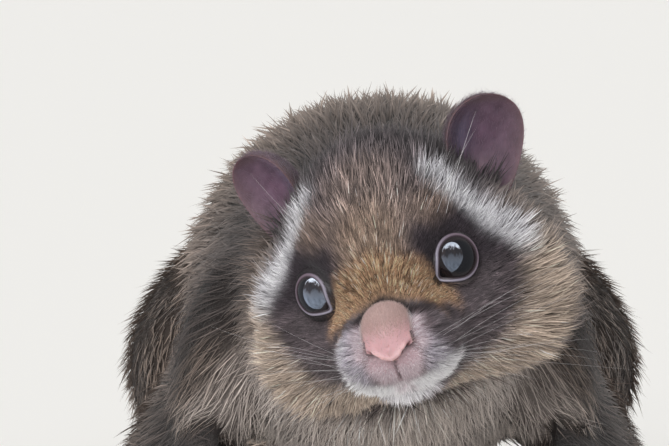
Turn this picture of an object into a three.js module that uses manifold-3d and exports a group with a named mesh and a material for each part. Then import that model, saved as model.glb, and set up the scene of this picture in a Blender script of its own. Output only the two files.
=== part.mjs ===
// A Japanese giant flying squirrel, life size, crouching on all fours with its head tilted and turned.
// Millimetres. +Z is up and the floor is z = 0, the face looks along -Y, and the animal's left is +X.
import * as THREE from "three";
import { mergeVertices } from "three/addons/utils/BufferGeometryUtils.js";
import Module from "manifold-3d";

const wasm = await Module();
wasm.setup();

// Driving dimensions
const GAP = 0.3; // clear space where two pieces meet
const EYES_ABOVE_FLOOR = 92; // height of the point midway between the eyes
const HEAD_TILT = { nosedown: 20, turn: -10, lean: 15 }; // degrees
const BACK_HEIGHT = 133;
const BELLY_CLEARANCE = 26;
const CHEST_WIDTH = 92;
const RUMP_WIDTH = 118;
const RUMP_END = 316; // how far the rump lies behind the eyes
const TAIL_WIDTH = 58;
const HINDFOOT_LENGTH = 62; // heel to the roots of the toes and on to their pads
const FOREFOOT_LENGTH = 30;

const UP = new THREE.Vector3(0, 0, 1);
const LEFT = 1;
const RIGHT = -1;
const SIDES = { left: LEFT, right: RIGHT };
const radians = THREE.MathUtils.degToRad;
const at = (x, y, z) => new THREE.Vector3(x, y, z);

// Turning geometry into solids and back
function solidOf(geometry) {
  const bare = geometry.clone();
  bare.deleteAttribute("normal");
  bare.deleteAttribute("uv");
  const merged = mergeVertices(bare, 1e-4);
  return new wasm.Manifold(
    new wasm.Mesh({
      numProp: 3,
      vertProperties: new Float32Array(merged.attributes.position.array),
      triVerts: new Uint32Array(merged.index.array),
    }),
  );
}

function geometryOf(solid) {
  const { vertProperties, triVerts } = solid.getMesh();
  const geometry = new THREE.BufferGeometry();
  geometry.setAttribute("position", new THREE.BufferAttribute(vertProperties, 3));
  geometry.setIndex(new THREE.BufferAttribute(triVerts, 1));
  geometry.computeVertexNormals();
  return geometry;
}

const joined = (solids) => solids.reduce((whole, solid) => whole.add(solid));
const cutBy = (solid, tools) => tools.reduce((rest, tool) => rest.subtract(tool), solid);

function largest(solid) {
  const bodies = solid.decompose();
  return bodies.reduce((best, body) => (body.volume() > best.volume() ? body : best));
}

// Moves every vertex of a geometry to the place that its two surface coordinates give.
// The first coordinate goes once round, so 1 is the same place as 0.
function reshape(geometry, place) {
  const { position, uv } = geometry.attributes;
  const point = new THREE.Vector3();
  for (let i = 0; i < position.count; i += 1) {
    place(point, uv.getX(i) % 1, uv.getY(i));
    position.setXYZ(i, point.x, point.y, point.z);
  }
  return geometry;
}

// Half a turn's sine, exactly zero at both ends so that a pole is one point.
const arch = (t) => (t <= 0 || t >= 1 ? 0 : Math.sin(Math.PI * t));

// One ring of a loft: where its centre is, and how far it reaches sideways, up and down.
const ring = (x, y, z, wide, high, low = high) => ({ at: at(x, y, z), half: at(wide, high, low) });

// A closed smooth body along a line of rings, rounded off over a share of its length at each end.
// Grow swells it all round.
function loft(rings, { up = UP, around = 16, along = 12, cap = 0.2, grow = 0, sway = null } = {}) {
  const spine = new THREE.CatmullRomCurve3(rings.map((r) => r.at));
  const sizes = new THREE.CatmullRomCurve3(rings.map((r) => r.half), false, "catmullrom");
  const ball = new THREE.SphereGeometry(1, around, along);
  return reshape(ball, (point, u, v) => {
    const t = (1 + Math.cos(Math.PI * v)) / 2;
    const angle = 2 * Math.PI * u;
    const toEnd = Math.min(Math.min(t, 1 - t) / cap, 1);
    const girth = v <= 0 || v >= 1 ? 0 : Math.sqrt(1 - (1 - toEnd) * (1 - toEnd));
    const tangent = spine.getTangent(t);
    const side = new THREE.Vector3().crossVectors(up, tangent).normalize();
    const lift = new THREE.Vector3().crossVectors(tangent, side);
    const half = sizes.getPoint(t);
    const upward = Math.sin(angle);
    spine.getPoint(t, point);
    point.addScaledVector(tangent, grow * (2 * t - 1));
    point.addScaledVector(side, -Math.cos(angle) * girth * (half.x + grow));
    point.addScaledVector(lift, upward * girth * ((upward > 0 ? half.y : half.z) + grow));
    if (sway) point.add(sway(point, upward * girth));
  });
}

function ellipsoid(centre, half, { around = 16, along = 12, grow = 0 } = {}) {
  return new THREE.SphereGeometry(1, around, along)
    .scale(half.x + grow, half.y + grow, half.z + grow)
    .translate(centre.x, centre.y, centre.z);
}

// The head's own frame: its origin is midway between the eyes, -Y is forward along the snout.
const lump = (x, y, z, wide, deep, high) => ({ centre: at(x, y, z), half: at(wide, deep, high) });
const pairOf = (x, y, z, ...half) => [lump(x, y, z, ...half), lump(-x, y, z, ...half)];
const HEAD_CENTRE = at(0, 10, -5);
const HEAD_BLEND = 3.2; // how softly the lumps run into each other
const NOSE = lump(0, -24, -6.8, 7.4, 7.2, 7.6);
const HEAD_LUMPS = [
  lump(0, 20, 5.5, 26.5, 29, 23.5),
  lump(0, 2, 4, 17, 17, 14),
  ...pairOf(20, 18, -9.5, 20, 21, 20),
  ...pairOf(24, 16, -24, 19, 19, 16.5),
  ...pairOf(13, 2, -13, 13, 15, 11),
  lump(0, -10, -9.5, 11, 17, 9.5),
  ...pairOf(7, -18.2, -13.2, 8, 9.2, 8.4),
  lump(0, -11, -22.5, 8.5, 11, 6.8),
  lump(0, 14, -20, 26, 25, 19),
];

const EYE = { apart: 33, radius: 7.6, outward: 36, upward: 8 };
const eyeCentre = (side) => at((side * EYE.apart) / 2, 0, 0);

function eyeAxis(side) {
  const flat = Math.cos(radians(EYE.upward));
  const out = radians(EYE.outward);
  return at(side * Math.sin(out) * flat, -Math.cos(out) * flat, Math.sin(radians(EYE.upward)));
}

// A shallow hollow in the fur round each eye
const ORBIT = { depth: 4, radius: 13 };
const ORBIT_BLEND = 1.8;
const ORBITS = [LEFT, RIGHT].map((side) => ({
  centre: eyeCentre(side).addScaledVector(eyeAxis(side), ORBIT.depth + ORBIT.radius),
  half: at(1, 1, 1).multiplyScalar(ORBIT.radius),
}));

// Roughly the distance from a point to a lump's surface, less than zero inside.
function outside(point, { centre, half }) {
  const offset = point.clone().sub(centre).divide(half);
  const reach = offset.length();
  return (reach * (reach - 1)) / Math.max(offset.divide(half).length(), 1e-6);
}

function headField(point) {
  const sum = HEAD_LUMPS.reduce((total, l) => total + Math.exp(-outside(point, l) / HEAD_BLEND), 0);
  const full = -HEAD_BLEND * Math.log(sum);
  return ORBITS.reduce((field, orbit) => {
    const hollow = -outside(point, orbit);
    return ORBIT_BLEND * Math.log(Math.exp(field / ORBIT_BLEND) + Math.exp(hollow / ORBIT_BLEND));
  }, full);
}

// The head's surface in one direction from its centre, found by halving.
function headSurface(direction, grow = 0) {
  let [inner, outer] = [2, 90];
  for (let i = 0; i < 30; i += 1) {
    const middle = (inner + outer) / 2;
    const probe = HEAD_CENTRE.clone().addScaledVector(direction, middle);
    if (headField(probe) < grow) inner = middle;
    else outer = middle;
  }
  return HEAD_CENTRE.clone().addScaledVector(direction, inner);
}

const toSurface = (x, y, z, grow = 0) =>
  headSurface(at(x, y, z).sub(HEAD_CENTRE).normalize(), grow);

function headSkin(grow = 0) {
  const crowding = 1.3; // rings lie closer together towards the nose
  const droop = radians(10); // the first ring is at the nose, below the head's centre
  const ball = new THREE.SphereGeometry(1, 34, 26);
  return reshape(ball, (point, u, v) => {
    const away = Math.pow(1 - v, crowding);
    const angle = 2 * Math.PI * u;
    const offAxis = arch(away);
    point.set(Math.cos(angle) * offAxis, -Math.cos(Math.PI * away), Math.sin(angle) * offAxis);
    point.applyAxisAngle(at(1, 0, 0), droop);
    point.copy(headSurface(point, grow));
  });
}

// Eyes and lids
const LID = { opening: 54, corner: 12, thickness: 0.85 };

const eyeball = (side, grow = 0) =>
  ellipsoid(eyeCentre(side), at(1, 1, 1).multiplyScalar(EYE.radius), { around: 14, along: 10, grow });

// A rim round the eye. It reaches furthest at the inner corner, which points at the nose.
function lidRim(side) {
  const axis = eyeAxis(side);
  const inward = at(-side, 0, -0.75);
  inward.addScaledVector(axis, -inward.dot(axis)).normalize();
  const across = new THREE.Vector3().crossVectors(axis, inward);
  const sphere = EYE.radius + GAP + 0.3;
  return reshape(new THREE.TorusGeometry(1, 0.2, 6, 22), (point, u, v) => {
    const round = 2 * Math.PI * u;
    const tube = 2 * Math.PI * (v % 1);
    const towardCorner = Math.max(Math.cos(round), 0);
    const spread = radians(LID.opening + LID.corner * Math.pow(towardCorner, 6));
    const radial = inward.clone().multiplyScalar(Math.cos(round));
    radial.addScaledVector(across, Math.sin(round));
    const normal = axis.clone().multiplyScalar(Math.cos(spread)).addScaledVector(radial, Math.sin(spread));
    const tangent = axis.clone().multiplyScalar(-Math.sin(spread)).addScaledVector(radial, Math.cos(spread));
    point.copy(eyeCentre(side)).addScaledVector(normal, sphere + LID.thickness * Math.sin(tube));
    point.addScaledVector(tangent, LID.thickness * Math.cos(tube));
  });
}

// A groove's cutter: a thin tube along points of the head's surface.
const groove = (points, radius) =>
  loft(points.map((p) => ring(p.x, p.y, p.z, radius, radius)), { around: 6, along: 12, cap: 0.1 });

function mouthLine() {
  const corner = at(12, -8, -22.5);
  const middle = at(0, -24, -22.6);
  const halfway = at(7, -20, -21.2);
  const spots = [corner, halfway, middle];
  const leftHalf = spots.map((p) => toSurface(p.x, p.y, p.z));
  const rightHalf = [halfway, corner].map((p) => toSurface(-p.x, p.y, p.z));
  return groove([...leftHalf, ...rightHalf], 0.8);
}

function lipCleft() {
  return groove([-14.5, -18, -22.2].map((z) => toSurface(0, -26, z)), 0.6);
}

function nostril(side) {
  const slit = ellipsoid(at(0, 0, 0), at(2, 2.4, 0.8), { around: 8, along: 6 });
  slit.rotateZ(radians(side * 30)).rotateY(radians(side * -24));
  return slit.translate(side * 3.8, -29.6, -9.6);
}

// An ear: a cup that opens forwards and outwards, thin at its rim.
const EAR = { height: 31.5, width: 12.6, bend: 66, wall: 0.9, root: at(27, 30, 5.5) };
const EAR_LEAN = { back: 12, left: { out: 22, open: 32 }, right: { out: 22, open: 25 } }; // degrees

function earCup(side) {
  const { out, open } = side === LEFT ? EAR_LEAN.left : EAR_LEAN.right;
  const ball = new THREE.SphereGeometry(1, 18, 10);
  reshape(ball, (point, u, v) => {
    const t = 1 - v;
    const angle = 2 * Math.PI * u;
    const height = (1 - Math.cos(Math.PI * t)) / 2;
    const outline = EAR.width * arch(t) * (0.62 + 0.52 * height);
    const turn = radians(EAR.bend) * (1.25 - 0.35 * height);
    const radius = outline / Math.sin(turn);
    const swing = -turn * Math.cos(angle);
    const wall = (EAR.wall + 1.4 * Math.pow(1 - height, 3)) * Math.min(outline / 3, 1);
    const reach = radius + wall * Math.sin(angle);
    const depth = reach * Math.cos(swing) - radius * Math.cos(turn);
    point.set(reach * Math.sin(swing), depth, EAR.height * (height - 0.24));
  });
  ball.rotateX(radians(-EAR_LEAN.back)).rotateZ(radians(side * open)).rotateY(radians(side * out));
  return ball.translate(side * EAR.root.x, EAR.root.y, EAR.root.z);
}

// Where the head sits on the body
const headPose = new THREE.Matrix4().compose(
  at(0, 0, EYES_ABOVE_FLOOR),
  new THREE.Quaternion()
    .setFromAxisAngle(at(0, -1, 0), radians(HEAD_TILT.lean))
    .multiply(new THREE.Quaternion().setFromAxisAngle(UP, radians(HEAD_TILT.turn)))
    .multiply(new THREE.Quaternion().setFromAxisAngle(at(1, 0, 0), radians(HEAD_TILT.nosedown))),
  at(1, 1, 1),
);
const onBody = (geometry) => geometry.applyMatrix4(headPose);
const onHead = (geometry) => geometry.applyMatrix4(headPose.clone().invert());

// Neck and torso are one body, parted behind the shoulders of the neck.
const backTop = (z, share = 1) => BACK_HEIGHT * share - z;
const bellyDrop = (z, clearance = BELLY_CLEARANCE) => z - clearance;
const NECK_END = 66;

const trunk = (grow = 0) =>
  loft(
    [
      ring(3, 12, 97, 24, 20, 22),
      ring(2, 34, 92, 32, 26, 34),
      ring(1, 58, 86, 39, 33, 42),
      ring(0, 88, 80, CHEST_WIDTH * 0.49, backTop(80, 0.935), bellyDrop(80, 32)),
      ring(0, 124, 77, CHEST_WIDTH * 0.53, backTop(77, 0.965), bellyDrop(77, 28)),
      ring(0, 162, 76, RUMP_WIDTH * 0.45, backTop(76), bellyDrop(76)),
      ring(0, 202, 74, RUMP_WIDTH * 0.49, backTop(74), bellyDrop(74, 22)),
      ring(0, 242, 69, RUMP_WIDTH * 0.5, backTop(69, 0.96), bellyDrop(69, 18)),
      ring(0, 282, 58, RUMP_WIDTH * 0.45, backTop(58, 0.82), bellyDrop(58, 14)),
      ring(0, RUMP_END, 44, RUMP_WIDTH * 0.34, 38, 32),
    ],
    { around: 24, along: 20, cap: 0.1, grow },
  );

// Limbs. Each is one loft, and x grows towards the animal's own side.
const thigh = (side, grow = 0) =>
  loft(
    [
      ring(side * 30, 282, 62, 24, 26),
      ring(side * 40, 256, 60, 29, 33),
      ring(side * 52, 224, 52, 25, 28),
      ring(side * 60, 192, 43, 15, 18),
    ],
    { around: 14, along: 10, cap: 0.3, grow },
  );

const shank = (side, grow = 0) =>
  loft(
    [
      ring(side * 59, 200, 38, 13, 15),
      ring(side * 61, 226, 28, 12.5, 14),
      ring(side * 59, 252, 18, 10.5, 12),
      ring(side * 56, 274, 12, 9.5, 10.5),
    ],
    { around: 12, along: 8, grow },
  );

const upperArm = (side, grow = 0) =>
  loft(
    [
      ring(side * 24, 76, 88, 18, 22),
      ring(side * 36, 92, 72, 19, 24),
      ring(side * 46, 110, 52, 15, 18),
      ring(side * 48, 122, 40, 11, 12),
    ],
    { around: 14, along: 9, cap: 0.3, grow },
  );

const forearm = (side, grow = 0) =>
  loft(
    [
      ring(side * 48, 124, 42, 12, 13),
      ring(side * 48, 106, 34, 12, 13),
      ring(side * 46, 82, 21, 9.5, 10.5),
      ring(side * 44, 60, 11, 8, 8.5),
    ],
    { around: 12, along: 8, grow },
  );

// A toe and its claw, starting at the knuckle and pointing forwards, turned by splay degrees.
function toe(knuckle, splay, length, radius) {
  const way = at(Math.sin(radians(splay)), -Math.cos(radians(splay)), 0);
  const rings = [
    { share: 0, height: 1.6, wide: 0.9, high: 1 },
    { share: 0.35, height: 1.4, wide: 1, high: 1.1 },
    { share: 0.8, height: 1, wide: 1, high: 1.05 },
    { share: 1.1, height: 1.4, wide: 0.42, high: 0.62 },
    { share: 1.4, height: 1, wide: 0.26, high: 0.4 },
    { share: 1.6, height: 0.3, wide: 0.14, high: 0.22 },
  ].map(({ share, height, wide, high }) => {
    const p = knuckle.clone().addScaledVector(way, length * share);
    return ring(p.x, p.y, radius * height, radius * wide, radius * high);
  });
  return solidOf(loft(rings, { around: 5, along: 7, cap: 0.08 }));
}

// Everything below the floor is cut off, which leaves the soles flat.
const FLOOR_CUT = solidOf(new THREE.BoxGeometry(400, 1400, 40).translate(0, 300, -20));

function foot({ side, heel, width, length, height, toes, toeLength, toeRadius, fan }) {
  const sole = loft(
    [
      ring(side * heel.x, heel.y, heel.z, width * 0.36, height * 0.62),
      ring(side * (heel.x + 1), heel.y - length * 0.4, heel.z * 0.75, width * 0.4, height * 0.55),
      ring(side * (heel.x + 3), heel.y - length * 0.78, heel.z * 0.55, width * 0.5, height * 0.45),
      ring(side * (heel.x + 4), heel.y - length, heel.z * 0.5, width * 0.46, height * 0.36),
    ],
    { around: 12, along: 7 },
  );
  const digits = Array.from({ length: toes }, (_, i) => {
    const across = (i / (toes - 1)) * 2 - 1;
    const knuckle = at(
      side * (heel.x + 4 + across * width * 0.4),
      heel.y - length * (0.95 - 0.1 * across * across),
      0,
    );
    const reach = toeLength * (1 - 0.16 * across * across);
    return toe(knuckle, side * (6 + across * fan), reach, toeRadius);
  });
  return largest(joined([solidOf(sole), ...digits]).subtract(FLOOR_CUT));
}

const forefoot = (side) =>
  foot({
    side,
    heel: at(44, 70, 8),
    width: 19,
    length: FOREFOOT_LENGTH * 0.62,
    height: 12,
    toes: 4,
    toeLength: FOREFOOT_LENGTH * 0.55,
    toeRadius: 2.7,
    fan: 17,
  });

const hindfoot = (side) =>
  foot({
    side,
    heel: at(55, 266, 8),
    width: 22,
    length: HINDFOOT_LENGTH * 0.78,
    height: 14,
    toes: 5,
    toeLength: HINDFOOT_LENGTH * 0.3,
    toeRadius: 2.9,
    fan: 18,
  });

// The gliding membrane, folded along the flank from wrist to ankle, its free edge in gathers.
const MEMBRANE = { depth: 25, thickness: 4.4, slope: 27, ripple: 1.9, pleat: 30 };

function membrane(side, grow = 0) {
  const slant = at(side * -Math.sin(radians(MEMBRANE.slope)), 0, Math.cos(radians(MEMBRANE.slope)));
  const sway = (point, height) => {
    const edge = Math.max(0.25 - height, 0);
    const wave = MEMBRANE.ripple * Math.sin((2 * Math.PI * point.y) / MEMBRANE.pleat);
    return at(side * wave * edge, 0, 0.5 * wave * edge);
  };
  const fold = (x, y, z, share) =>
    ring(side * x, y, z, MEMBRANE.thickness, MEMBRANE.depth * share);
  return loft(
    [
      fold(49, 74, 26, 0.5),
      fold(55, 104, 36, 0.8),
      fold(61, 140, 44, 1),
      fold(64, 176, 44, 1),
      fold(65, 206, 38, 0.9),
      fold(61, 240, 27, 0.62),
    ],
    { up: slant, around: 6, along: 25, cap: 0.1, grow, sway },
  );
}

// The tail lies on the floor behind the rump in a shallow S. Fur is its outline's share of full
// width, and core is the height of the body under the fur.
const TAIL_LINE = [
  { x: 0, y: RUMP_END - 30, z: 44, fur: 0.76, core: 1.2 },
  { x: -1, y: RUMP_END + 4, z: 32, fur: 0.82, core: 1.12 },
  { x: -9, y: RUMP_END + 52, z: 17, fur: 0.94, core: 1 },
  { x: -26, y: RUMP_END + 110, z: 14, fur: 1, core: 1 },
  { x: -36, y: RUMP_END + 168, z: 14, fur: 1, core: 1 },
  { x: -27, y: RUMP_END + 226, z: 14, fur: 1, core: 1 },
  { x: 0, y: RUMP_END + 280, z: 14, fur: 0.98, core: 0.95 },
  { x: 32, y: RUMP_END + 322, z: 13, fur: 0.86, core: 0.7 },
];
const TAIL_CORE = { wide: 13.5, high: 13.5, flat: 1.5 };
const TAIL_PARTINGS = [0, 0.36, 0.68, 1];
const tailSpine = new THREE.CatmullRomCurve3(TAIL_LINE.map(({ x, y, z }) => at(x, y, z)));
const tailSizes = new THREE.CatmullRomCurve3(TAIL_LINE.map(({ fur, core }) => at(fur, core, 0)));
const tailLength = tailSpine.getLength();

const tailCore = () =>
  loft(
    TAIL_LINE.map(({ x, y, z, core }) => {
      const low = Math.min(z, 14) + TAIL_CORE.flat;
      return ring(x, y, z, TAIL_CORE.wide * core, TAIL_CORE.high * core, low);
    }),
    { around: 10, along: 15, cap: 0.05 },
  );

// A slab across the tail at a share of its length, for parting it
function tailSlab(share) {
  const slab = new THREE.BoxGeometry(140, GAP, 140);
  const across = new THREE.Quaternion().setFromUnitVectors(at(0, 1, 0), tailSpine.getTangentAt(share));
  return solidOf(slab.applyQuaternion(across).translate(...tailSpine.getPointAt(share).toArray()));
}

// A flat lock: narrow where it is rooted in the core, widest in the middle, and ending in a point.
const LOCK = { length: 54, width: 15, thickness: 2.6, spacing: 27, perRow: 7 };
const LOCK_SHAPE = [
  { share: 0, rise: -0.25, wide: 0.35, thick: 1 },
  { share: 0.3, rise: 0.3, wide: 0.7, thick: 1 },
  { share: 0.65, rise: 0.78, wide: 1, thick: 0.8 },
  { share: 1, rise: 1, wide: 0.3, thick: 0.45 },
];

function tailPlace(distance, angle, radius) {
  const share = Math.min(distance / tailLength, 1);
  const tangent = tailSpine.getTangentAt(share);
  const side = new THREE.Vector3().crossVectors(tangent, UP).normalize();
  const lift = new THREE.Vector3().crossVectors(side, tangent);
  const outward = side.multiplyScalar(Math.cos(angle)).addScaledVector(lift, Math.sin(angle));
  const point = tailSpine.getPointAt(share).addScaledVector(tangent, distance - share * tailLength);
  return { point: point.addScaledVector(outward, radius), outward };
}

function tailLock({ start, angle, reach, size, bend }, grow = 0) {
  const rings = LOCK_SHAPE.map(({ share, rise, wide, thick }) => {
    const distance = start + share * LOCK.length * size;
    const { x: fur, y: core } = tailSizes.getPoint(Math.min(distance / tailLength, 1));
    const inner = TAIL_CORE.wide * core;
    const radius = inner + rise * ((TAIL_WIDTH / 2) * fur * reach - inner);
    const { point } = tailPlace(distance, angle + bend * share * share, radius);
    const floor = 0.6 + (LOCK.thickness / 2) * thick;
    return ring(
      point.x,
      point.y,
      Math.max(point.z, floor),
      (LOCK.width / 2) * wide,
      (LOCK.thickness / 2) * thick,
    );
  });
  const { outward } = tailPlace(start, angle, 1);
  return solidOf(loft(rings, { up: outward, around: 4, along: 4, cap: 0.3, grow }));
}

// Numbers from 0 to 1 that look random and are the same each time
function seeded(seed) {
  let state = seed;
  return () => {
    state = (state * 1664525 + 1013904223) % 4294967296;
    return state / 4294967296;
  };
}

// Rows of locks, each row half a step round from the one before
function tailLocks() {
  const random = seeded(7);
  const about = (middle, spread) => middle + (random() * 2 - 1) * spread;
  const rows = Math.floor((tailLength - 44) / LOCK.spacing) + 1;
  return Array.from({ length: rows * LOCK.perRow }, (_, i) => {
    const row = Math.floor(i / LOCK.perRow);
    const step = ((i % LOCK.perRow) + (row % 2) / 2 - 0.25) / (LOCK.perRow - 1);
    return {
      start: about(36 + row * LOCK.spacing, 1.5),
      angle: radians(about(-18 + 216 * step, 3)),
      reach: about(1, 0.05),
      size: about(1, 0.08),
      bend: radians(about(0, 5)),
    };
  });
}

// Finishes: colour, roughness
const FINISHES = {
  grizzled: [0x5b4d45, 0.95],
  face: [0x6e5b50, 0.95],
  nose: [0xd9a9a4, 0.6],
  eye: [0x1c1614, 0.08],
  ear: [0x7a5d66, 0.8],
  limb: [0x40362f, 0.95],
  foot: [0x2b2522, 0.85],
  membrane: [0x6b5a4e, 0.95],
  tail: [0x5a4a41, 0.95],
};

const animal = new THREE.Group();
const headGroup = new THREE.Group();
headGroup.applyMatrix4(headPose);
animal.add(headGroup);

function addPiece(group, name, solid, finish) {
  const [color, roughness] = FINISHES[finish];
  const material = new THREE.MeshStandardMaterial({ color, roughness, metalness: 0 });
  const mesh = new THREE.Mesh(geometryOf(largest(solid)), material);
  mesh.name = name;
  group.add(mesh);
}

// The head and what it carries, in the head's frame
function buildHead() {
  const sides = Object.values(SIDES);
  const nose = ellipsoid(NOSE.centre, NOSE.half, { around: 16, along: 11 });
  const noseRoom = ellipsoid(NOSE.centre, NOSE.half, { around: 16, along: 11, grow: GAP });
  const furred = joined([solidOf(headSkin()), ...sides.map((s) => solidOf(lidRim(s)))]);
  const head = cutBy(furred, [
    ...sides.map((s) => solidOf(eyeball(s, GAP))),
    solidOf(noseRoom),
    solidOf(mouthLine()),
    solidOf(lipCleft()),
  ]);
  addPiece(headGroup, "head", head, "face");
  addPiece(headGroup, "nose", cutBy(solidOf(nose), sides.map((s) => solidOf(nostril(s)))), "nose");
  Object.entries(SIDES).forEach(([name, side]) => {
    addPiece(headGroup, `eye_${name}`, solidOf(eyeball(side)), "eye");
    const fur = [headSkin(GAP), onHead(trunk(GAP))].map(solidOf);
    addPiece(headGroup, `ear_${name}`, cutBy(solidOf(earCup(side)), fur), "ear");
  });
}

function buildTrunk() {
  const whole = solidOf(trunk()).subtract(solidOf(onBody(headSkin(GAP))));
  const [front, back] = whole.splitByPlane([0, -1, 0], -NECK_END);
  addPiece(animal, "neck", front, "grizzled");
  addPiece(animal, "torso", back.trimByPlane([0, 1, 0], NECK_END + GAP), "grizzled");
}

function buildLimbs() {
  const body = solidOf(trunk(GAP));
  Object.entries(SIDES).forEach(([name, side]) => {
    const hip = solidOf(thigh(side)).subtract(body);
    const shin = cutBy(solidOf(shank(side)), [body, solidOf(thigh(side, GAP))]);
    const hind = cutBy(hindfoot(side), [solidOf(shank(side, GAP)), solidOf(thigh(side, GAP))]);
    const arm = solidOf(upperArm(side)).subtract(body);
    const wrist = cutBy(solidOf(forearm(side)), [body, solidOf(upperArm(side, GAP))]);
    const fore = forefoot(side).subtract(solidOf(forearm(side, GAP)));
    const fold = cutBy(solidOf(membrane(side)), [
      body,
      ...[thigh, shank, upperArm, forearm].map((limb) => solidOf(limb(side, GAP))),
    ]);
    addPiece(animal, `thigh_${name}`, hip, "limb");
    addPiece(animal, `shank_${name}`, shin, "limb");
    addPiece(animal, `hindfoot_${name}`, hind, "foot");
    addPiece(animal, `upper_arm_${name}`, arm, "limb");
    addPiece(animal, `forearm_${name}`, wrist, "limb");
    addPiece(animal, `forefoot_${name}`, fore, "foot");
    addPiece(animal, `membrane_${name}`, fold, "membrane");
  });
}

// The locks of one length lie over the start of the next, which is cut clear of them.
function buildTail() {
  const core = solidOf(tailCore());
  const locks = tailLocks();
  let room = [solidOf(trunk(GAP)), FLOOR_CUT];
  TAIL_PARTINGS.slice(1).forEach((end, i) => {
    const begin = TAIL_PARTINGS[i];
    const own = locks.filter(({ start }) => start > begin * tailLength && start <= end * tailLength);
    const lengths = cutBy(core, TAIL_PARTINGS.slice(1, -1).map(tailSlab)).decompose();
    const middle = tailSpine.getPointAt((begin + end) / 2).y;
    const nearest = (a, b) =>
      Math.abs(midY(a) - middle) < Math.abs(midY(b) - middle) ? a : b;
    const body = lengths.reduce(nearest);
    const whole = joined([body, ...own.map((lock) => tailLock(lock))]);
    addPiece(animal, `tail_${i + 1}`, cutBy(whole, room), "tail");
    room = [...room, ...own.map((lock) => tailLock(lock, GAP))];
  });
}

function midY(solid) {
  const { min, max } = solid.boundingBox();
  return (min[1] + max[1]) / 2;
}

buildHead();
buildTrunk();
buildLimbs();
buildTail();

// The origin is the middle of the footprint, on the floor.
const bounds = new THREE.Box3().setFromObject(animal, true);
const middle = bounds.getCenter(new THREE.Vector3());
animal.position.set(-middle.x, -middle.y, -bounds.min.z);

export default animal;
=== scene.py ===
"""A Japanese giant flying squirrel at life size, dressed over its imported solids.

The solids reach out to the tips of the coat. Here one skin lies inside them by the coat's depth,
and hair of solid mesh grows from it along the lie of the coat. Shapes are worked out in
millimetres and written in metres.
"""

from __future__ import annotations

import logging
import math
from dataclasses import dataclass, replace
from enum import Enum
from typing import Callable

import bmesh
import bpy
import numpy as np
from bmesh.types import BMesh
from bpy.types import Light, Material, Mesh, Node, NodeSocket, NodeTree, Object
from mathutils import Matrix, Vector
from mathutils.kdtree import KDTree


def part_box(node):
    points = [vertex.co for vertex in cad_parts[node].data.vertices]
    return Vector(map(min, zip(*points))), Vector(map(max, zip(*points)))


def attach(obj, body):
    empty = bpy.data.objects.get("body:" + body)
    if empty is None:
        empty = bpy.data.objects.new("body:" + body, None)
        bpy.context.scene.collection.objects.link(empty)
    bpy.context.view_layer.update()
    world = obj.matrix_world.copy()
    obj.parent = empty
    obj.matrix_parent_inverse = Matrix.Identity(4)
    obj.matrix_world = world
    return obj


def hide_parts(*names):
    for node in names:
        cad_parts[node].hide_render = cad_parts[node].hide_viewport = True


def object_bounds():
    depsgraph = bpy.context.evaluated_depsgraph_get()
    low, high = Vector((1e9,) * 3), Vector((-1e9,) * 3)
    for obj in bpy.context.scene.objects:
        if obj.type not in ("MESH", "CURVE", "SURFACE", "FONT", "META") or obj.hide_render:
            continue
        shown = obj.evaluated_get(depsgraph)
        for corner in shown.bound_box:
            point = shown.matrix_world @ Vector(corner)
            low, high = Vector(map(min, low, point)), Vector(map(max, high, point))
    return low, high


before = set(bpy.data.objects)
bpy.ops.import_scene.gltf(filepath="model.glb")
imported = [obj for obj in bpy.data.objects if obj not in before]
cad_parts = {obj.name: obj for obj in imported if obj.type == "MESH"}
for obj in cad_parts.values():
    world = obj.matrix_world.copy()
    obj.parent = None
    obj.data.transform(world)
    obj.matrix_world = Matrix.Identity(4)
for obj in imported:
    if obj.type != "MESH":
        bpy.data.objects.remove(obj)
CAD_BOX = [list(corner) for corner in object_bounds()]

Array = np.ndarray
Place = tuple[float, float, float]
Rows = tuple[tuple[float, ...], ...]
Outline = Callable[[Array], Array]  # how far places lie outside a body, less than zero within
Maker = Callable[[BMesh], None]  # adds a starting shape
Closeness = Callable[[Array, Array], Array]  # how close hair stands, by places and skin directions

LOG = logging.getLogger("flying_squirrel")
MM = 0.001
UPWARDS = np.array([0.0, 0.0, 1.0])
SIDES = (1, -1)  # the animal's left and right
NAMED_SIDES = (("left", 1), ("right", -1))
PATCH = 0.003  # width of one hair's patch on the bake's map


def unit(vectors: Array) -> Array:
    """Each row at length one."""
    return vectors / np.maximum(np.linalg.norm(vectors, axis=-1, keepdims=True), 1e-9)


def ease(share: Array) -> Array:
    """A share held between 0 and 1, with soft ends."""
    held = np.clip(share, 0.0, 1.0)
    return held * held * (3 - 2 * held)


def along_skin(vectors: Array, normals: Array) -> Array:
    """What is left of each vector when it is laid flat on the skin, at length one."""
    return unit(vectors - np.sum(vectors * normals, axis=-1, keepdims=True) * normals)


def turned(axis: Place, degrees: float) -> Array:
    """A turn about an axis as a 3 by 3 matrix."""
    return np.array(Matrix.Rotation(math.radians(degrees), 3, Vector(axis)))


def mirrored(points: Array) -> Array:
    """Places of the head or body with those of the right side moved to the left side."""
    return np.column_stack([np.abs(points[:, 0]), points[:, 1:]])


def blended(share: Array, first: Array, second: Array) -> Array:
    """The first values where a share is 1 and the second where it is 0, run into each other between."""
    part = share.reshape(-1, *[1] * (first.ndim - 1))
    return first * part + second * (1 - part)


def linear(tone: Place) -> Array:
    """A colour seen on a screen, 0 to 255, as the amounts of light that the shader wants."""
    share = np.array(tone, float) / 255
    return np.where(share <= 0.04045, share / 12.92, ((share + 0.055) / 1.055) ** 2.4)


def laid_over(colour: Array, tone: Place, share: Array) -> Array:
    """A colour with a screen tone laid over it by a share for each row."""
    part = share[:, None]
    return colour * (1 - part) + linear(tone) * part


def on_map(around: Array, along: Array) -> Array:
    """Map places a little inside the map's edges, from shares around and along a piece."""
    return np.column_stack([around, along]) * 0.98 + 0.01


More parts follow.
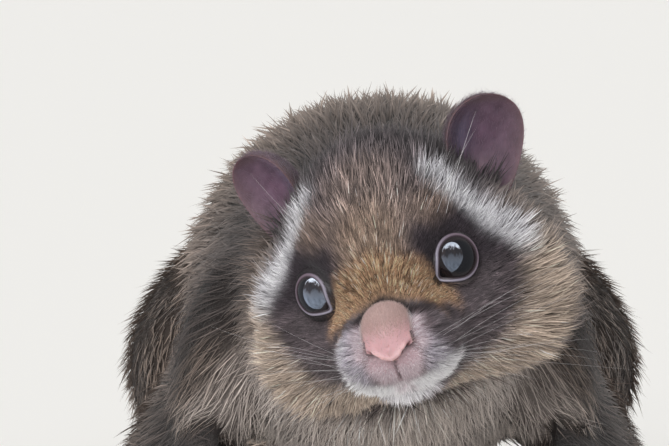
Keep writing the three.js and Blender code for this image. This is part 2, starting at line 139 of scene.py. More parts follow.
def turn_share(across: Array, ahead: Array) -> Array:
    """An angle as a share of a full turn."""
    return np.arctan2(across, ahead) / (2 * math.pi) + 0.5


def outside(points: Array, centre: Array, half: Array) -> Array:
    """Roughly how far points lie outside an ellipsoid, less than zero within.

    Args:
        points: Places, one to a row.
        centre: The ellipsoid's middle.
        half: Its half sizes.

    Returns:
        One distance for each row.
    """
    offset = (points - centre) / half
    reach = np.linalg.norm(offset, axis=-1)
    return reach * (reach - 1) / np.maximum(np.linalg.norm(offset / half, axis=-1), 1e-6)


def soft_union(points: Array, lumps: Rows, blend: float) -> Array:
    """How far points lie outside ellipsoids that melt into each other, less than zero within.

    Args:
        points: Places, one to a row.
        lumps: The ellipsoids: middle and half sizes.
        blend: How widely they melt.

    Returns:
        One distance for each row.
    """
    total = np.full(len(points), 1e-300)
    for lump in lumps:
        total += np.exp(-outside(points, np.array(lump[:3]), np.array(lump[3:])) / blend)
    return -blend * np.log(total)


def cast(field: Outline, centre: Array, ways: Array, reach: float) -> Array:
    """Finds where the outline of a field lies in each direction from a centre inside it.

    Args:
        field: The field.
        centre: A place inside it.
        ways: Directions, one to a row.
        reach: A distance that lies outside in every direction.

    Returns:
        One place on the outline for each direction.
    """
    inner = np.zeros(len(ways))
    outer = np.full(len(ways), reach)
    for _ in range(20):
        middle = (inner + outer) / 2
        within = field(centre + ways * middle[:, None]) < 0
        inner = np.where(within, middle, inner)
        outer = np.where(within, outer, middle)
    return centre + ways * inner[:, None]


def slopes(field: Outline, points: Array, step: float = 0.2) -> Array:
    """The outward direction of a field at points on or near its outline."""
    return unit(np.column_stack([field(points + way) - field(points - way) for way in np.eye(3) * step]))


def on_surface(line: Rows, field: Outline, centre: Array) -> Array:
    """The points of a line moved onto a field's outline, straight away from its centre."""
    return cast(field, centre, unit(np.array(line, float) - centre), 60.0)


def nearest_on_line(points: Array, line: Array) -> tuple[Array, Array, Array]:
    """Finds where points lie beside a line of straight stretches.

    Args:
        points: Places, one to a row.
        line: The line's corners, one to a row.

    Returns:
        Each point's distance, the share of the line's length at its foot, and the foot itself.
    """
    lengths = np.linalg.norm(np.diff(line, axis=0), axis=1)
    starts = np.concatenate([[0.0], np.cumsum(lengths)])
    best = np.full(len(points), np.inf)
    share = np.zeros(len(points))
    foot = np.zeros((len(points), 3))
    for start, end, length, before in zip(line[:-1], line[1:], lengths, starts):
        way = (end - start) / length
        step = np.clip((points - start) @ way, 0, length)
        spot = start + step[:, None] * way
        distance = np.linalg.norm(points - spot, axis=1)
        nearer = distance < best
        best = np.where(nearer, distance, best)
        share = np.where(nearer, (before + step) / starts[-1], share)
        foot = np.where(nearer[:, None], spot, foot)
    return best, share, foot


def smooth_line(corners: Array, shares: Array) -> Array:
    """Points on a curve through all corners.

    Args:
        corners: The corners, one to a row.
        shares: Shares of the curve's run from its first corner to its last.

    Returns:
        One point for each share.
    """
    corners = np.asarray(corners, float)
    before, after = 2 * corners[0] - corners[1], 2 * corners[-1] - corners[-2]
    padded = np.concatenate([[before], corners, [after]])
    at = np.clip(np.asarray(shares, float), 0, 1) * (len(corners) - 1)
    first = np.minimum(at.astype(int), len(corners) - 2)
    t = (at - first)[:, None]
    a, b, c, d = (padded[first + i] for i in range(4))
    bends = (2 * a - 5 * b + 4 * c - d) * t**2 + (3 * b - a - 3 * c + d) * t**3
    return 0.5 * (2 * b + (c - a) * t + bends)


def flutter(points: Array, period: float, seed: int) -> Array:
    """A smooth random direction for each point, that changes over about one period.

    Args:
        points: Places, one to a row, in millimetres.
        period: How far apart the changes are.
        seed: Picks one of many such fields.

    Returns:
        Three values from about -1 to 1 for each row.
    """
    random = np.random.default_rng(seed)
    total = np.zeros((len(points), 3))
    for _ in range(5):
        waves = random.normal(size=(3, 3)) * (2 * math.pi / period) * 0.6
        total += np.sin(points @ waves + random.uniform(0, 2 * math.pi, 3))
    return total / 2.6


def locks(points: Array, size: float, seed: int) -> tuple[Array, Array]:
    """Groups places that lie close together, in uneven patches.

    Args:
        points: Places, one to a row.
        size: About how wide one patch is.
        seed: Picks one of many ways to group them.

    Returns:
        A patch number for each row, and the way from each place to its patch's middle.
    """
    bent = points + flutter(points, size * 3.1, seed) * size * 0.7
    _, group = np.unique(np.floor(bent / size).astype(int), axis=0, return_inverse=True)
    group = group.reshape(-1)
    count = np.bincount(group)
    middle = np.column_stack([np.bincount(group, weights=points[:, i]) / count for i in range(3)])
    return group, middle[group] - points


class Fur(Enum):
    """Kinds of hair, each with its colour at the root, its colour at the tip and how mixed it is."""

    GRIZZLED = ((34, 29, 30), (104, 94, 96), 0.55)
    # dark crown: partly the coat's own colour, partly painted shade
    CROWN = ((26, 23, 24), (64, 58, 59), 0.5)
    WARM = ((48, 39, 34), (142, 121, 106), 0.6)
    OCHRE = ((40, 29, 22), (164, 130, 102), 0.8)
    EYE_PATCH = ((22, 18, 21), (62, 54, 60), 0.45)
    # also laid beside the muzzle as painted shade
    CHEEK = ((32, 27, 30), (94, 84, 87), 0.45)
    # also laid on one side of the muzzle as painted light
    WHITE = ((138, 134, 138), (212, 210, 214), 0.3)
    BEIGE = ((92, 79, 72), (190, 172, 156), 0.32)
    MUZZLE = ((70, 60, 68), (170, 164, 173), 0.5)
    DARK_LINE = ((20, 16, 18), (48, 39, 40), 0.25)
    CHIN = ((196, 190, 197), (250, 247, 250), 0.2)
    LIP = ((164, 134, 140), (206, 192, 198), 0.2)
    NOSE_DOWN = ((156, 124, 120), (189, 163, 157), 0.1)
    EAR_DOWN = ((100, 80, 94), (148, 126, 142), 0.25)
    # dark nape: partly the coat's own colour, partly painted shade
    NAPE_AND_SHADE = ((43, 38, 37), (84, 75, 72), 0.26)
    BACK = ((64, 56, 52), (134, 119, 108), 0.3)
    FLANK = ((64, 56, 53), (130, 116, 107), 0.3)
    BELLY = ((128, 118, 114), (204, 192, 184), 0.18)
    LIMB = ((56, 48, 45), (138, 121, 109), 0.35)
    FOOT = ((64, 55, 51), (126, 109, 100), 0.3)
    MEMBRANE = ((48, 41, 38), (120, 106, 96), 0.4)
    TAIL = ((54, 46, 42), (142, 126, 113), 0.33)

    @property
    def root(self) -> Array:
        """The colour at the root, as light."""
        return linear(self.value[0])

    @property
    def tip(self) -> Array:
        """The colour at the tip, as light."""
        return linear(self.value[1])

    @property
    def mixed(self) -> float:
        """How much one hair's brightness differs from the next."""
        return self.value[2]


@dataclass(frozen=True)
class Mark:
    """A marking with a soft edge, along a line of points on the head, on both sides or on one. The marks on
    one side only, and a few others, are painted light or shade.

    Its hair may also be longer than the hair round it, and then it lies flatter.
    """

    fur: Fur
    line: Rows
    reach: float
    edge: float
    strength: float = 1.0
    longer: float = 1.0
    # a mark on one side only paints light or shade on that side
    side: int = 0

    def mask(self, points: Array) -> Array:
        """How strongly the marking shows at places of the head, 0 to 1."""
        spots = points * np.array([self.side, 1, 1]) if self.side else mirrored(points)
        line = np.array(self.line, float)
        if len(line) == 1:
            distance = np.linalg.norm(spots - line[0], axis=1)
        else:
            distance = nearest_on_line(spots, line)[0]
        return self.strength * ease(1 - (distance - self.reach) / self.edge)


HEAD_MARKS = (
    Mark(Fur.FLANK, ((36, 26, -12), (26, 36, -24), (0, 40, -30)), 14, 14),
    # the dark crown, partly painted shade
    Mark(Fur.CROWN, ((0, 40, 20), (18, 36, 15)), 14, 14),
    Mark(Fur.WARM, ((0, -7, 13), (0, -12, 8)), 4, 11.5, 0.95),
    Mark(Fur.WARM, ((0, 4, 24),), 5, 13, 0.4),
    Mark(Fur.EYE_PATCH, ((16.5, 0, 0),), 11, 8.5, 0.95),
    Mark(Fur.EYE_PATCH, ((20, 2, 10), (26, 3, 4), (29, 2, -5)), 2.5, 7.5, 0.75),
    Mark(Fur.WARM, ((13, 0, 15), (19, 6, 16)), 1.5, 6.5, 0.5),
    Mark(Fur.EYE_PATCH, ((12.4, -6, 9), (11, -8.4, 4)), 1.6, 4.5, 0.85),
    Mark(Fur.CHEEK, ((15, -13, -11), (22, -8, -11), (29, -2, -12)), 5, 8, 0.9),
    Mark(Fur.OCHRE, ((0, -14.2, 7), (8, -13, 2.5), (13.6, -12.4, -4.4)), 3.6, 4.8),
    Mark(
        Fur.WHITE,
        ((19, 12.5, 21.5), (22.8, 10.5, 16), (30.6, 9.3, 6), (37, 10.5, -2), (39, 12, -5)),
        2.0, 6.0,
    ),
    Mark(Fur.BEIGE, ((41, 12, -14), (38, 5, -23), (29, 1, -33), (14, -2, -37)), 6, 9, 0.95),
    # painted shade where the muzzle's side turns away from the cheek
    Mark(Fur.CHEEK, ((16.5, -14, -7.5), (17, -16, -13), (17.5, -12, -19)), 1.6, 3.2),
    Mark(Fur.MUZZLE, ((9, -22.5, -4), (12, -23.5, -9), (11, -26, -14)), 2.8, 3.4, 1.0, 2.0),
    Mark(Fur.WHITE, ((30, 9.6, 6), (37, 11, -1)), 3.2, 6.5, 0.4),
    # painted shadow on the muzzle's left side only
    Mark(Fur.CHEEK, ((11, -21, -5), (13, -21, -11)), 2.6, 3.8, 0.95, side=1),
    # painted light on the muzzle's right side only: a pale strip
    Mark(Fur.WHITE, ((12, -20.5, -8), (12.5, -22.5, -14)), 0.6, 2.8, 0.75, side=-1),
    Mark(Fur.DARK_LINE, ((0, -18.9, 1.5), (4.6, -20, 0.1), (7.8, -20.8, -2.2)), 0.7, 1.6),
    Mark(Fur.DARK_LINE, ((7.8, -20.8, -2.2), (11.5, -17.6, -3.8), (16, -14, -8)), 0.5, 2.2, 0.75),
    Mark(Fur.CHIN, ((11, -22.5, -19.8), (14, -17, -20.5)), 1.4, 3.6, 0.6),
    Mark(Fur.CHIN, ((0, -24, -23), (6, -24, -22), (11, -22.5, -19.8)), 3.0, 3.6, 1.0, 1.7),
    Mark(Fur.LIP, ((7.6, -23, -5), (7.8, -26, -9)), 1.0, 2.4, 0.85),
    Mark(Fur.LIP, ((0, -28.5, -12), (4.5, -27.6, -12), (3, -28, -15)), 2.0, 2.6, 0.85),
    Mark(Fur.LIP, ((0, -28, -15), (1.2, -25, -21)), 0.7, 1.8, 0.6),
)


@dataclass
class Tone:
    """Hair colours at many points: at the root, at the tip, and how mixed they are."""

    root: Array
    tip: Array
    mixed: Array

    def over(self, fur: Fur, share: Array) -> "Tone":
        """These colours with a kind of fur laid over them by a share for each point."""
        part = share[:, None]
        return Tone(
            self.root * (1 - part) + fur.root * part,
            self.tip * (1 - part) + fur.tip * part,
            self.mixed * (1 - share) + fur.mixed * share,
        )

    @staticmethod
    def plain(fur: Fur, count: int) -> "Tone":
        """One kind of fur at every point."""
        return Tone(np.tile(fur.root, (count, 1)), np.tile(fur.tip, (count, 1)), np.full(count, fur.mixed))


@dataclass
class HeadForm:
    """The head's outline in its own frame, as soft lumps with a hollow for each eye.

    The frame's origin is midway between the eyes, its -Y runs forward along the snout.
    """

    centre: Place = (0, 10, -5)
    blend: float = 3.2
    middle_lumps: Rows = (
        (0, 20, 5.5, 26.5, 29, 23.5),
        (0, 2, 4, 17, 17, 14),
        (0, -10, -9.5, 11, 17, 9.5),
        (0, -11, -22.5, 8.5, 11, 6.8),
        (0, 14, -20, 26, 25, 19),
    )
    side_lumps: Rows = (
        (20, 18, -9.5, 20, 21, 20),
        (24, 16, -24, 19, 19, 16.5),
        (13, 2, -13, 13, 15, 11),
        (7, -18.2, -13.2, 8, 9.2, 8.4),
    )
    eyes_apart: float = 33
    eye_radius: float = 7.6
    eye_outward: float = 36
    eye_upward: float = 8
    hollow_depth: float = 4
    hollow_radius: float = 13
    hollow_blend: float = 1.8
    nosedown: float = 20
    turn: float = -10
    lean: float = 15

    def __post_init__(self) -> None:
        """Finds the head's place from the two packed eyes."""
        corners = [corner for name, _ in NAMED_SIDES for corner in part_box(f"eye_{name}")]
        self.origin = np.mean([list(corner) for corner in corners], axis=0) / MM
        self.body_shift = np.array([0, self.origin[1], 0])
        tilt = turned((0, -1, 0), self.lean) @ turned((0, 0, 1), self.turn)
        self.rotation = tilt @ turned((1, 0, 0), self.nosedown)

    def to_world(self, points: Array) -> Array:
        """Points of the head's frame in the part's frame."""
        return points @ self.rotation.T + self.origin

    def to_head(self, points: Array) -> Array:
        """Points of the part's frame in the head's frame."""
        return (points - self.origin) @ self.rotation

    def behind(self, points: Array) -> Array:
        """How far points of the part's frame lie behind the eyes."""
        return points[:, 1] - self.origin[1]

    def eye(self, side: int) -> Array:
        """The middle of an eyeball in the head's frame."""
        return np.array([side * self.eyes_apart / 2, 0.0, 0.0])

    def field(self, points: Array) -> Array:
        """How far points lie outside the head, less than zero within.

        Args:
            points: Places of the head's frame.

        Returns:
            One distance for each row.
        """
        other_side = tuple((-x, *rest) for x, *rest in self.side_lumps)
        whole = soft_union(points, self.middle_lumps + self.side_lumps + other_side, self.blend)
        out, high = math.radians(self.eye_outward), math.radians(self.eye_upward)
        flat = math.cos(high)
        for side in SIDES:
            way = np.array([side * math.sin(out) * flat, -math.cos(out) * flat, math.sin(high)])
            middle = self.eye(side) + way * (self.hollow_depth + self.hollow_radius)
            hollow = -outside(points, middle, np.full(3, self.hollow_radius))
            whole = self.hollow_blend * np.logaddexp(whole / self.hollow_blend, hollow / self.hollow_blend)
        return whole

    def surface(self, directions: Array) -> Array:
        """Where the head's outline lies in each direction from its centre."""
        return cast(self.field, np.array(self.centre), directions, 90.0)

    def normals(self, points: Array) -> Array:
        """The outward direction at points on or near the head's outline."""
        return slopes(self.field, points)


@dataclass(frozen=True)
class Strand:
    """A stretch of the body: a line that its coat follows, its girth round it, and its coat."""

    name: str
    line: Rows
    girth: float
    fur: Fur
    hair: float
    lift: float
    paired: bool = True


BODY_STRANDS = (
    Strand(
        "trunk", ((0, 12, 97), (0, 58, 86), (0, 124, 77), (0, 202, 74), (0, 282, 58), (0, 330, 42)),
        50, Fur.BACK, 14, 15, paired=False,
    ),
    Strand("thigh", ((26, 286, 64), (40, 256, 60), (52, 224, 52), (60, 192, 43)), 27, Fur.LIMB, 9, 18),
    Strand("shank", ((59, 204, 36), (61, 226, 28), (59, 252, 18), (56, 272, 12)), 12, Fur.LIMB, 6, 14),
    Strand("upper_arm", ((24, 76, 88), (36, 92, 72), (46, 110, 52), (48, 122, 40)), 18, Fur.LIMB, 8, 18),
    Strand("forearm", ((48, 124, 40), (48, 106, 34), (46, 82, 21), (44, 62, 11)), 11, Fur.LIMB, 5, 14),
    Strand("forefoot", ((44, 72, 8), (47, 54, 4), (49, 36, 2)), 7, Fur.FOOT, 2.4, 10),
    Strand("hindfoot", ((55, 268, 8), (58, 230, 5), (60, 200, 3)), 8, Fur.FOOT, 2.8, 10),
    Strand(
        "membrane_top",
        ((40, 70, 44), (50, 104, 54), (54, 140, 62), (57, 176, 62), (58, 206, 54), (56, 240, 40)),
        7, Fur.MEMBRANE, 7, 13,
    ),
    Strand(
        "membrane_edge",
        ((54, 72, 20), (61, 104, 26), (69, 140, 28), (73, 176, 28), (74, 206, 24), (66, 240, 18)),
        7, Fur.MEMBRANE, 7, 13,
    ),
)


@dataclass
class Strands:
    """Many thin closed hairs or tufts, each a three-sided stem that ends in a point."""

    lines: Array
    sides: Array
    widths: Array
    root_light: Array
    tip_light: Array
    spots: Array

    def __len__(self) -> int:
        """How many hairs there are."""
        return len(self.lines)

    def part(self, chosen: Array) -> "Strands":
        """Some of the hairs, by mask or by number."""
        return Strands(*(getattr(self, name)[chosen] for name in self.__dataclass_fields__))

    @property
    def triangles_each(self) -> int:
        """Triangles of one hair."""
        return 6 * (self.lines.shape[1] - 2) + 4

    def faces(self, rings: int) -> list[tuple[int, int, int]]:
        """The triangles of one hair: its foot, the sides of its rings and its point."""
        found = [(0, 1, 2)]
        for ring in range(rings - 1):
            for k in range(3):
                a, b = ring * 3 + k, ring * 3 + (k + 1) % 3
                found += [(a, a + 3, b + 3), (a, b + 3, b)]
        top = (rings - 1) * 3
        return found + [(top + k, rings * 3, top + (k + 1) % 3) for k in range(3)]

    def arrays(self) -> tuple[Array, Array, Array, Array]:
        """Works out the joined mesh of all hairs.

        Returns:
            Points, triangles, a colour for each point and a map place for each point.
        """
        count, levels = self.lines.shape[:2]
        rings = levels - 1
        each = rings * 3 + 1
        lift = unit(np.cross(self.sides, unit(self.lines[:, -1] - self.lines[:, 0])))
        corners = ((0.5, 0.0), (-0.5, 0.0), (0.0, 0.34))
        points = np.empty((count, each, 3))
        share = np.ones(each)
        flat = np.zeros((each, 2))
        for ring in range(rings):
            for k, (across, high) in enumerate(corners):
                offset = self.sides * across + lift * high
                points[:, ring * 3 + k] = self.lines[:, ring] + offset * self.widths[:, ring, None]
                share[ring * 3 + k] = 0.22 + 0.78 * (ring / rings) ** 0.7
                flat[ring * 3 + k] = (across * 2 * (1 - ring / levels), 2 * ring / rings - 1 - high)
        points[:, -1] = self.lines[:, -1]
        flat[-1] = (0.0, 1.0)
        triangles = np.array(self.faces(rings))[None] + (np.arange(count) * each)[:, None, None]
        colour = self.root_light[:, None] + (self.tip_light - self.root_light)[:, None] * share[None, :, None]
        patch = self.spots[:, None] + flat[None] * PATCH / 2
        return points.reshape(-1, 3), triangles.reshape(-1, 3), colour.reshape(-1, 3), patch.reshape(-1, 2)


def mesh_of(name: str, points: Array, triangles: Array, colour: Array, patch: Array) -> Mesh:
    """Makes a mesh from arrays in millimetres, with its colours and the bake's map.

    Args:
        name: The mesh's name.
        points: Places in millimetres.
        triangles: Three point numbers to a row, seen from outside in turning order.
        colour: Light for each point.
        patch: A map place for each point.

    Returns:
        The finished mesh.
    """
    mesh = bpy.data.meshes.new(name)
    mesh.vertices.add(len(points))
    mesh.vertices.foreach_set("co", (points * MM).astype(np.float32).ravel())
    mesh.loops.add(triangles.size)
    mesh.loops.foreach_set("vertex_index", triangles.astype(np.int32).ravel())
    mesh.polygons.add(len(triangles))
    mesh.polygons.foreach_set("loop_start", np.arange(0, triangles.size, 3, dtype=np.int32))
    mesh.update(calc_edges=True)
    paint(mesh, colour)
    uv = mesh.uv_layers.new(name="OFBake")
    uv.data.foreach_set("uv", patch[triangles.ravel()].astype(np.float32).ravel())
    return mesh


def paint(mesh: Mesh, colour: Array) -> None:
    """Stores a colour for each point of a mesh, for its finish to read.

    Args:
        mesh: The mesh.
        colour: Light for each point.
    """
    layer = mesh.color_attributes.new(name="coat_colour", type="FLOAT_COLOR", domain="POINT")
    rows = np.column_stack([colour, np.ones(len(colour))])
    layer.data.foreach_set("color", rows.astype(np.float32).ravel())


def read_vectors(items: bpy.types.bpy_prop_collection, name: str) -> Array:
    """One value of three parts for each item of a mesh, as rows."""
    flat = np.empty(len(items) * 3, np.float32)
    items.foreach_get(name, flat)
    return flat.reshape(-1, 3).astype(float)


def read_points(mesh: Mesh) -> Array:
    """A mesh's points in millimetres."""
    return read_vectors(mesh.vertices, "co") / MM


def read_normals(mesh: Mesh) -> Array:
    """The outward direction at each point of a mesh."""
    return read_vectors(mesh.vertex_normals, "vector")


def write_points(mesh: Mesh, points: Array) -> None:
    """Moves a mesh's points, given in millimetres."""
    mesh.vertices.foreach_set("co", (points * MM).astype(np.float32).ravel())
    mesh.update()


def read_triangles(mesh: Mesh) -> Array:
    """A mesh's triangles as three point numbers to a row."""
    mesh.calc_loop_triangles()
    flat = np.empty(len(mesh.loop_triangles) * 3, np.int32)
    mesh.loop_triangles.foreach_get("vertices", flat)
    return flat.reshape(-1, 3)


def finished(bm: BMesh, name: str) -> Mesh:
    """A new mesh with what a bmesh holds. The bmesh is freed."""
    mesh = bpy.data.meshes.new(name)
    bm.to_mesh(mesh)
    bm.free()
    return mesh


def place_points(bm: BMesh, spots: Array) -> None:
    """Moves a bmesh's points to places in millimetres."""
    for vertex, spot in zip(bm.verts, spots * MM):
        vertex.co = spot


def add_piece(
    name: str,
    mesh: Mesh,
    material: Material,
    stands_for: tuple[str, ...] = (),
    smooth: bool = True,
) -> Object:
    """Adds one finished piece that rides on the animal's body.

    Args:
        name: The piece's name.
        mesh: Its mesh, in place and in metres.
        material: Its finish.
        stands_for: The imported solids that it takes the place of.
        smooth: Whether its faces shade into each other.

    Returns:
        The new object.
    """
    piece = bpy.data.objects.new(name, mesh)
    bpy.context.scene.collection.objects.link(piece)
    mesh.materials.clear()
    mesh.materials.append(material)
    if smooth:
        mesh.shade_smooth()
    else:
        mesh.shade_flat()
    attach(piece, "root")
    if stands_for:
        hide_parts(*stands_for)
    LOG.info("%s: %d faces", name, len(mesh.polygons))
    return piece


def shaped(build: Maker, place: Callable[[Array], Array], name: str) -> Mesh:
    """Makes a mesh with a bmesh operator and moves its points to their places.

    Args:
        build: Adds the starting shape to an empty bmesh.
        place: Turns the starting points into places in millimetres.
        name: The mesh's name.

    Returns:
        A closed mesh whose faces point outwards.
    """
    bm = bmesh.new()
    build(bm)
    place_points(bm, place(np.array([vertex.co for vertex in bm.verts], float)))
    bmesh.ops.remove_doubles(bm, verts=bm.verts, dist=1e-7)
    bmesh.ops.recalc_face_normals(bm, faces=bm.faces)
    return finished(bm, name)


def ball(around: int, along: int) -> Maker:
    """A starting ball with a given number of faces round it and along its axis."""
    return lambda bm: bmesh.ops.create_uvsphere(bm, u_segments=around, v_segments=along, radius=1)


def fine_ball(steps: int) -> Maker:
    """A starting ball of even triangles."""
    return lambda bm: bmesh.ops.create_icosphere(bm, subdivisions=steps, radius=1)


def on_ball(points: Array) -> tuple[Array, Array]:
    """The share of the way from one pole to the other, and the angle round, of points on a ball."""
    share = np.arccos(np.clip(-points[:, 2], -1, 1)) / math.pi
    return share, np.arctan2(points[:, 1], points[:, 0])


@dataclass
class Loft:
    """A closed smooth body along a line of rings: x, y, z, half width and half height."""

    rings: Rows
    cap: float = 0.2

    def place(self, start: Array) -> Array:
        """Where each point of a starting ball goes.

        Args:
            start: Points on a ball.

        Returns:
            Their places on the body.
        """
        share, angle = on_ball(start)
        t = (1 - np.cos(math.pi * share)) / 2
        rings = np.array(self.rings, float)
        middle = smooth_line(rings[:, :3], t)
        tangent = unit(smooth_line(rings[:, :3], t + 0.01) - smooth_line(rings[:, :3], t - 0.01))
        side = unit(np.cross(UPWARDS, tangent))
        lift = np.cross(tangent, side)
        half = smooth_line(rings[:, 3:], t)
        near_end = np.minimum(np.minimum(t, 1 - t) / self.cap, 1)
        girth = np.sqrt(np.maximum(1 - (1 - near_end) ** 2, 0))
        wide = (half[:, 0] * girth * np.cos(angle))[:, None]
        high = (half[:, 1] * girth * np.sin(angle))[:, None]
        return middle + side * wide + lift * high


@dataclass
class Coat:
    """The rules of the coat: how long, how steep, which way and which colour at any place."""

    head: HeadForm
    nose_tip: Place = (0, -29, -6)
    lengths: Rows = ((7, 1.0), (12, 1.7), (20, 2.6), (30, 4.0), (45, 6.5), (60, 9.5))
    lifts: Rows = ((6, 14), (20, 18), (40, 20), (60, 21))
    eye_clear: float = 8.6
    neck_blend: float = 14
    ear_foot: Place = (27, 26, 3)
    ear_reach: float = 11
    # the dark nape is partly painted shade
    nape: tuple[float, float] = (210, 110)  # how far back the dark nape reaches, and its soft edge
    back_band: float = 0.4  # share of the bake's map that the back takes

    def __post_init__(self) -> None:
        """Puts each strand of the body into the part's frame, on both sides."""
        self.runs: list[tuple[Strand, Array]] = []
        for strand in BODY_STRANDS:
            line = smooth_line(np.array(strand.line, float), np.linspace(0, 1, 9)) + self.head.body_shift
            self.runs.append((strand, line))
            if strand.paired:
                self.runs.append((strand, line * np.array([-1, 1, 1])))

    def head_share(self, points: Array) -> Array:
        """How much a place belongs to the head, from 0 on the body to 1 on the face."""
        return ease(1 - (self.head.field(self.head.to_head(points)) + 1) / self.neck_blend)

    def on_body(self, points: Array) -> tuple[Array, Array, Array, Array]:
        """Finds which strand of the body each point belongs to.

        Args:
            points: Places of the part's frame.

        Returns:
            Shares of the strands, one column each, their directions, and the share along and the
            angle round the strongest one.
        """
        reach, ways, places, angles = [], [], [], []
        for strand, line in self.runs:
            distance, share, foot = nearest_on_line(points, line)
            way = unit(smooth_line(line, share + 0.02) - smooth_line(line, share - 0.02))
            off = points - foot
            side = unit(np.cross(way, UPWARDS))
            reach.append(distance - strand.girth)
            ways.append(way)
            places.append(share)
            angles.append(np.arctan2(np.sum(off * np.cross(side, way), axis=1), np.sum(off * side, axis=1)))
        reach = np.column_stack(reach)
        share = np.exp(-(reach - reach.min(axis=1, keepdims=True)) / 3.0)
        share /= share.sum(axis=1, keepdims=True)
        strongest = share.argmax(axis=1)
        rows = np.arange(len(points))
        along, angle = (np.array(values)[strongest, rows] for values in (places, angles))
        return share, np.stack(ways, axis=1), along, angle

    def by_nose(self, place: Array, knots: Rows) -> Array:
        """A value set by knots over the distance from the tip of the nose, at places of the head."""
        from_nose = np.linalg.norm(place - np.array(self.nose_tip), axis=1)
        return np.interp(from_nose, *np.array(knots).T)

    def length(self, points: Array) -> Array:
        """Hair length at places of the part's frame, in millimetres."""
        place = self.head.to_head(points)
        to_eye = np.min([np.linalg.norm(place - self.head.eye(side), axis=1) for side in SIDES], axis=0)
        face = self.by_nose(place, self.lengths) * (0.32 + 0.68 * ease((to_eye - self.eye_clear) / 10))
        face *= self.marked_longer(place) * (1 + 0.5 * self.by_ear(place))
        body = self.on_body(points)[0] @ np.array([strand.hair for strand, _ in self.runs])
        return blended(self.head_share(points), face, body)

    def marked_longer(self, place: Array) -> Array:
        """How much longer the hair of the markings is, at places of the head."""
        masks = [mark.longer ** mark.mask(place) for mark in HEAD_MARKS if mark.longer != 1]
        return np.prod(masks, axis=0)

    def by_ear(self, place: Array) -> Array:
        """How close places of the head are to the foot of an ear, 0 to 1."""
        return np.exp(-np.sum((mirrored(place) - np.array(self.ear_foot)) ** 2, axis=1) / self.ear_reach**2)

    def lift(self, points: Array) -> Array:
        """How steeply the hair leaves the skin at places of the part's frame, in degrees."""
        place = self.head.to_head(points)
        face = self.by_nose(place, self.lifts) / self.marked_longer(place) ** 1.2 + 12 * self.by_ear(place)
        body = self.on_body(points)[0] @ np.array([strand.lift for strand, _ in self.runs])
        return blended(self.head_share(points), face, body)

    def depth(self, points: Array) -> Array:
        """How far the skin lies under the tips of the coat."""
        return self.length(points) * np.sin(np.radians(self.lift(points))) * 0.92

    def lie(self, points: Array, normals: Array) -> Array:
        """The way the hair lies: away from the nose and the eyes, then along the strands of the body.

        Args:
            points: Places of the part's frame.
            normals: The skin's outward direction there.

        Returns:
            One direction flat on the skin for each row.
        """
        place = self.head.to_head(points)
        away = unit(place - np.array([0, -26.0, -6.0])) + np.array([0, 0.25, 0.05])
        for side in SIDES:
            from_eye = place - self.head.eye(side)
            distance = np.linalg.norm(from_eye, axis=1, keepdims=True)
            away = away + 0.9 * np.exp(-(distance - self.eye_clear) / 4.5) * from_eye / distance
        share, ways, _, _ = self.on_body(points)
        body = np.sum(share[:, :, None] * ways, axis=1) + np.array([0, 0, -0.35]) * np.abs(normals[:, :1])
        face = unit(away @ self.head.rotation.T)
        return along_skin(blended(self.head_share(points), face, unit(body)), normals)

    def body_tone(self, points: Array, normals: Array) -> Tone:
        """The body's colours at places of the skin: the back, limbs, pale belly and a dark nape that is
        partly painted shade.
        """
        share = self.on_body(points)[0]
        tone = Tone.plain(Fur.BACK, len(points)).over(Fur.FLANK, ease((0.75 - normals[:, 2]) / 0.6))
        for fur in (Fur.LIMB, Fur.MEMBRANE, Fur.FOOT):
            part = share @ np.array([float(strand.fur is fur) for strand, _ in self.runs])
            tone = tone.over(fur, part)
        furred = 1 - part
        tone = tone.over(Fur.BELLY, ease((-normals[:, 2] - 0.1) / 0.5) * furred)
        # darker on top near the head: the nape, partly painted shade
        ahead = ease((self.nape[0] - self.head.behind(points)) / self.nape[1])
        return tone.over(Fur.NAPE_AND_SHADE, ahead * ease((normals[:, 2] + 0.35) / 0.5) * furred)

    def tone(self, points: Array, normals: Array) -> Tone:
        """The markings' colours at places of the skin.

        Args:
            points: Places of the part's frame.
            normals: The skin's outward direction there.

        Returns:
            The colours of each row.
        """
        place = self.head.to_head(points)
        face = Tone.plain(Fur.GRIZZLED, len(points))
        for mark in HEAD_MARKS:
            face = face.over(mark.fur, mark.mask(place))
        body = self.body_tone(points, normals)
        share = self.head_share(points)
        parts = ((face.root, body.root), (face.tip, body.tip), (face.mixed, body.mixed))
        return Tone(*(blended(share, of_face, of_body) for of_face, of_body in parts))

    def face_map(self, points: Array) -> Array:
        """Map places on an unwrap of the head: the angle round its upright axis, and the height."""
        off = unit(self.head.to_head(points) - np.array(self.head.centre))
        return on_map(turn_share(off[:, 0], -off[:, 1]), np.arcsin(np.clip(off[:, 2], -1, 1)) / math.pi + 0.5)

    def body_map(self, points: Array) -> Array:
        """Map places on an unwrap of the body: one band for each strand, angle across and length along."""
        share, _, along, angle = self.on_body(points)
        band = share.argmax(axis=1)
        each = (1 - self.back_band) / (len(self.runs) - 1)
        wide = np.where(band == 0, self.back_band, each * 0.94)
        start = np.where(band == 0, 0.0, self.back_band + (band - 1) * each)
        return np.column_stack([start + wide * (angle / (2 * math.pi) + 0.5), along * 0.98 + 0.01])


@dataclass(frozen=True)
class Clouds:
    """Cloudy values over a piece: clouds to the metre, how they are stretched, and how fine they are."""

    scale: float
    stretch: Place = (1, 1, 1)
    detail: float = 3


@dataclass(frozen=True)
class Mottle:
    """How clouds make a finish darker and lighter."""

    clouds: Clouds
    low: float
    high: float


@dataclass(frozen=True)
class Relief:
    """How clouds raise a finish, over a height in metres."""

    clouds: Clouds
    height: float


Settings = tuple[tuple[str, object], ...]


def glow(weight: float, radius: Place) -> Settings:
    """The settings of skin that is lit a little from within."""
    return ("Subsurface Weight", weight), ("Subsurface Radius", radius), ("Subsurface Scale", 1.0)


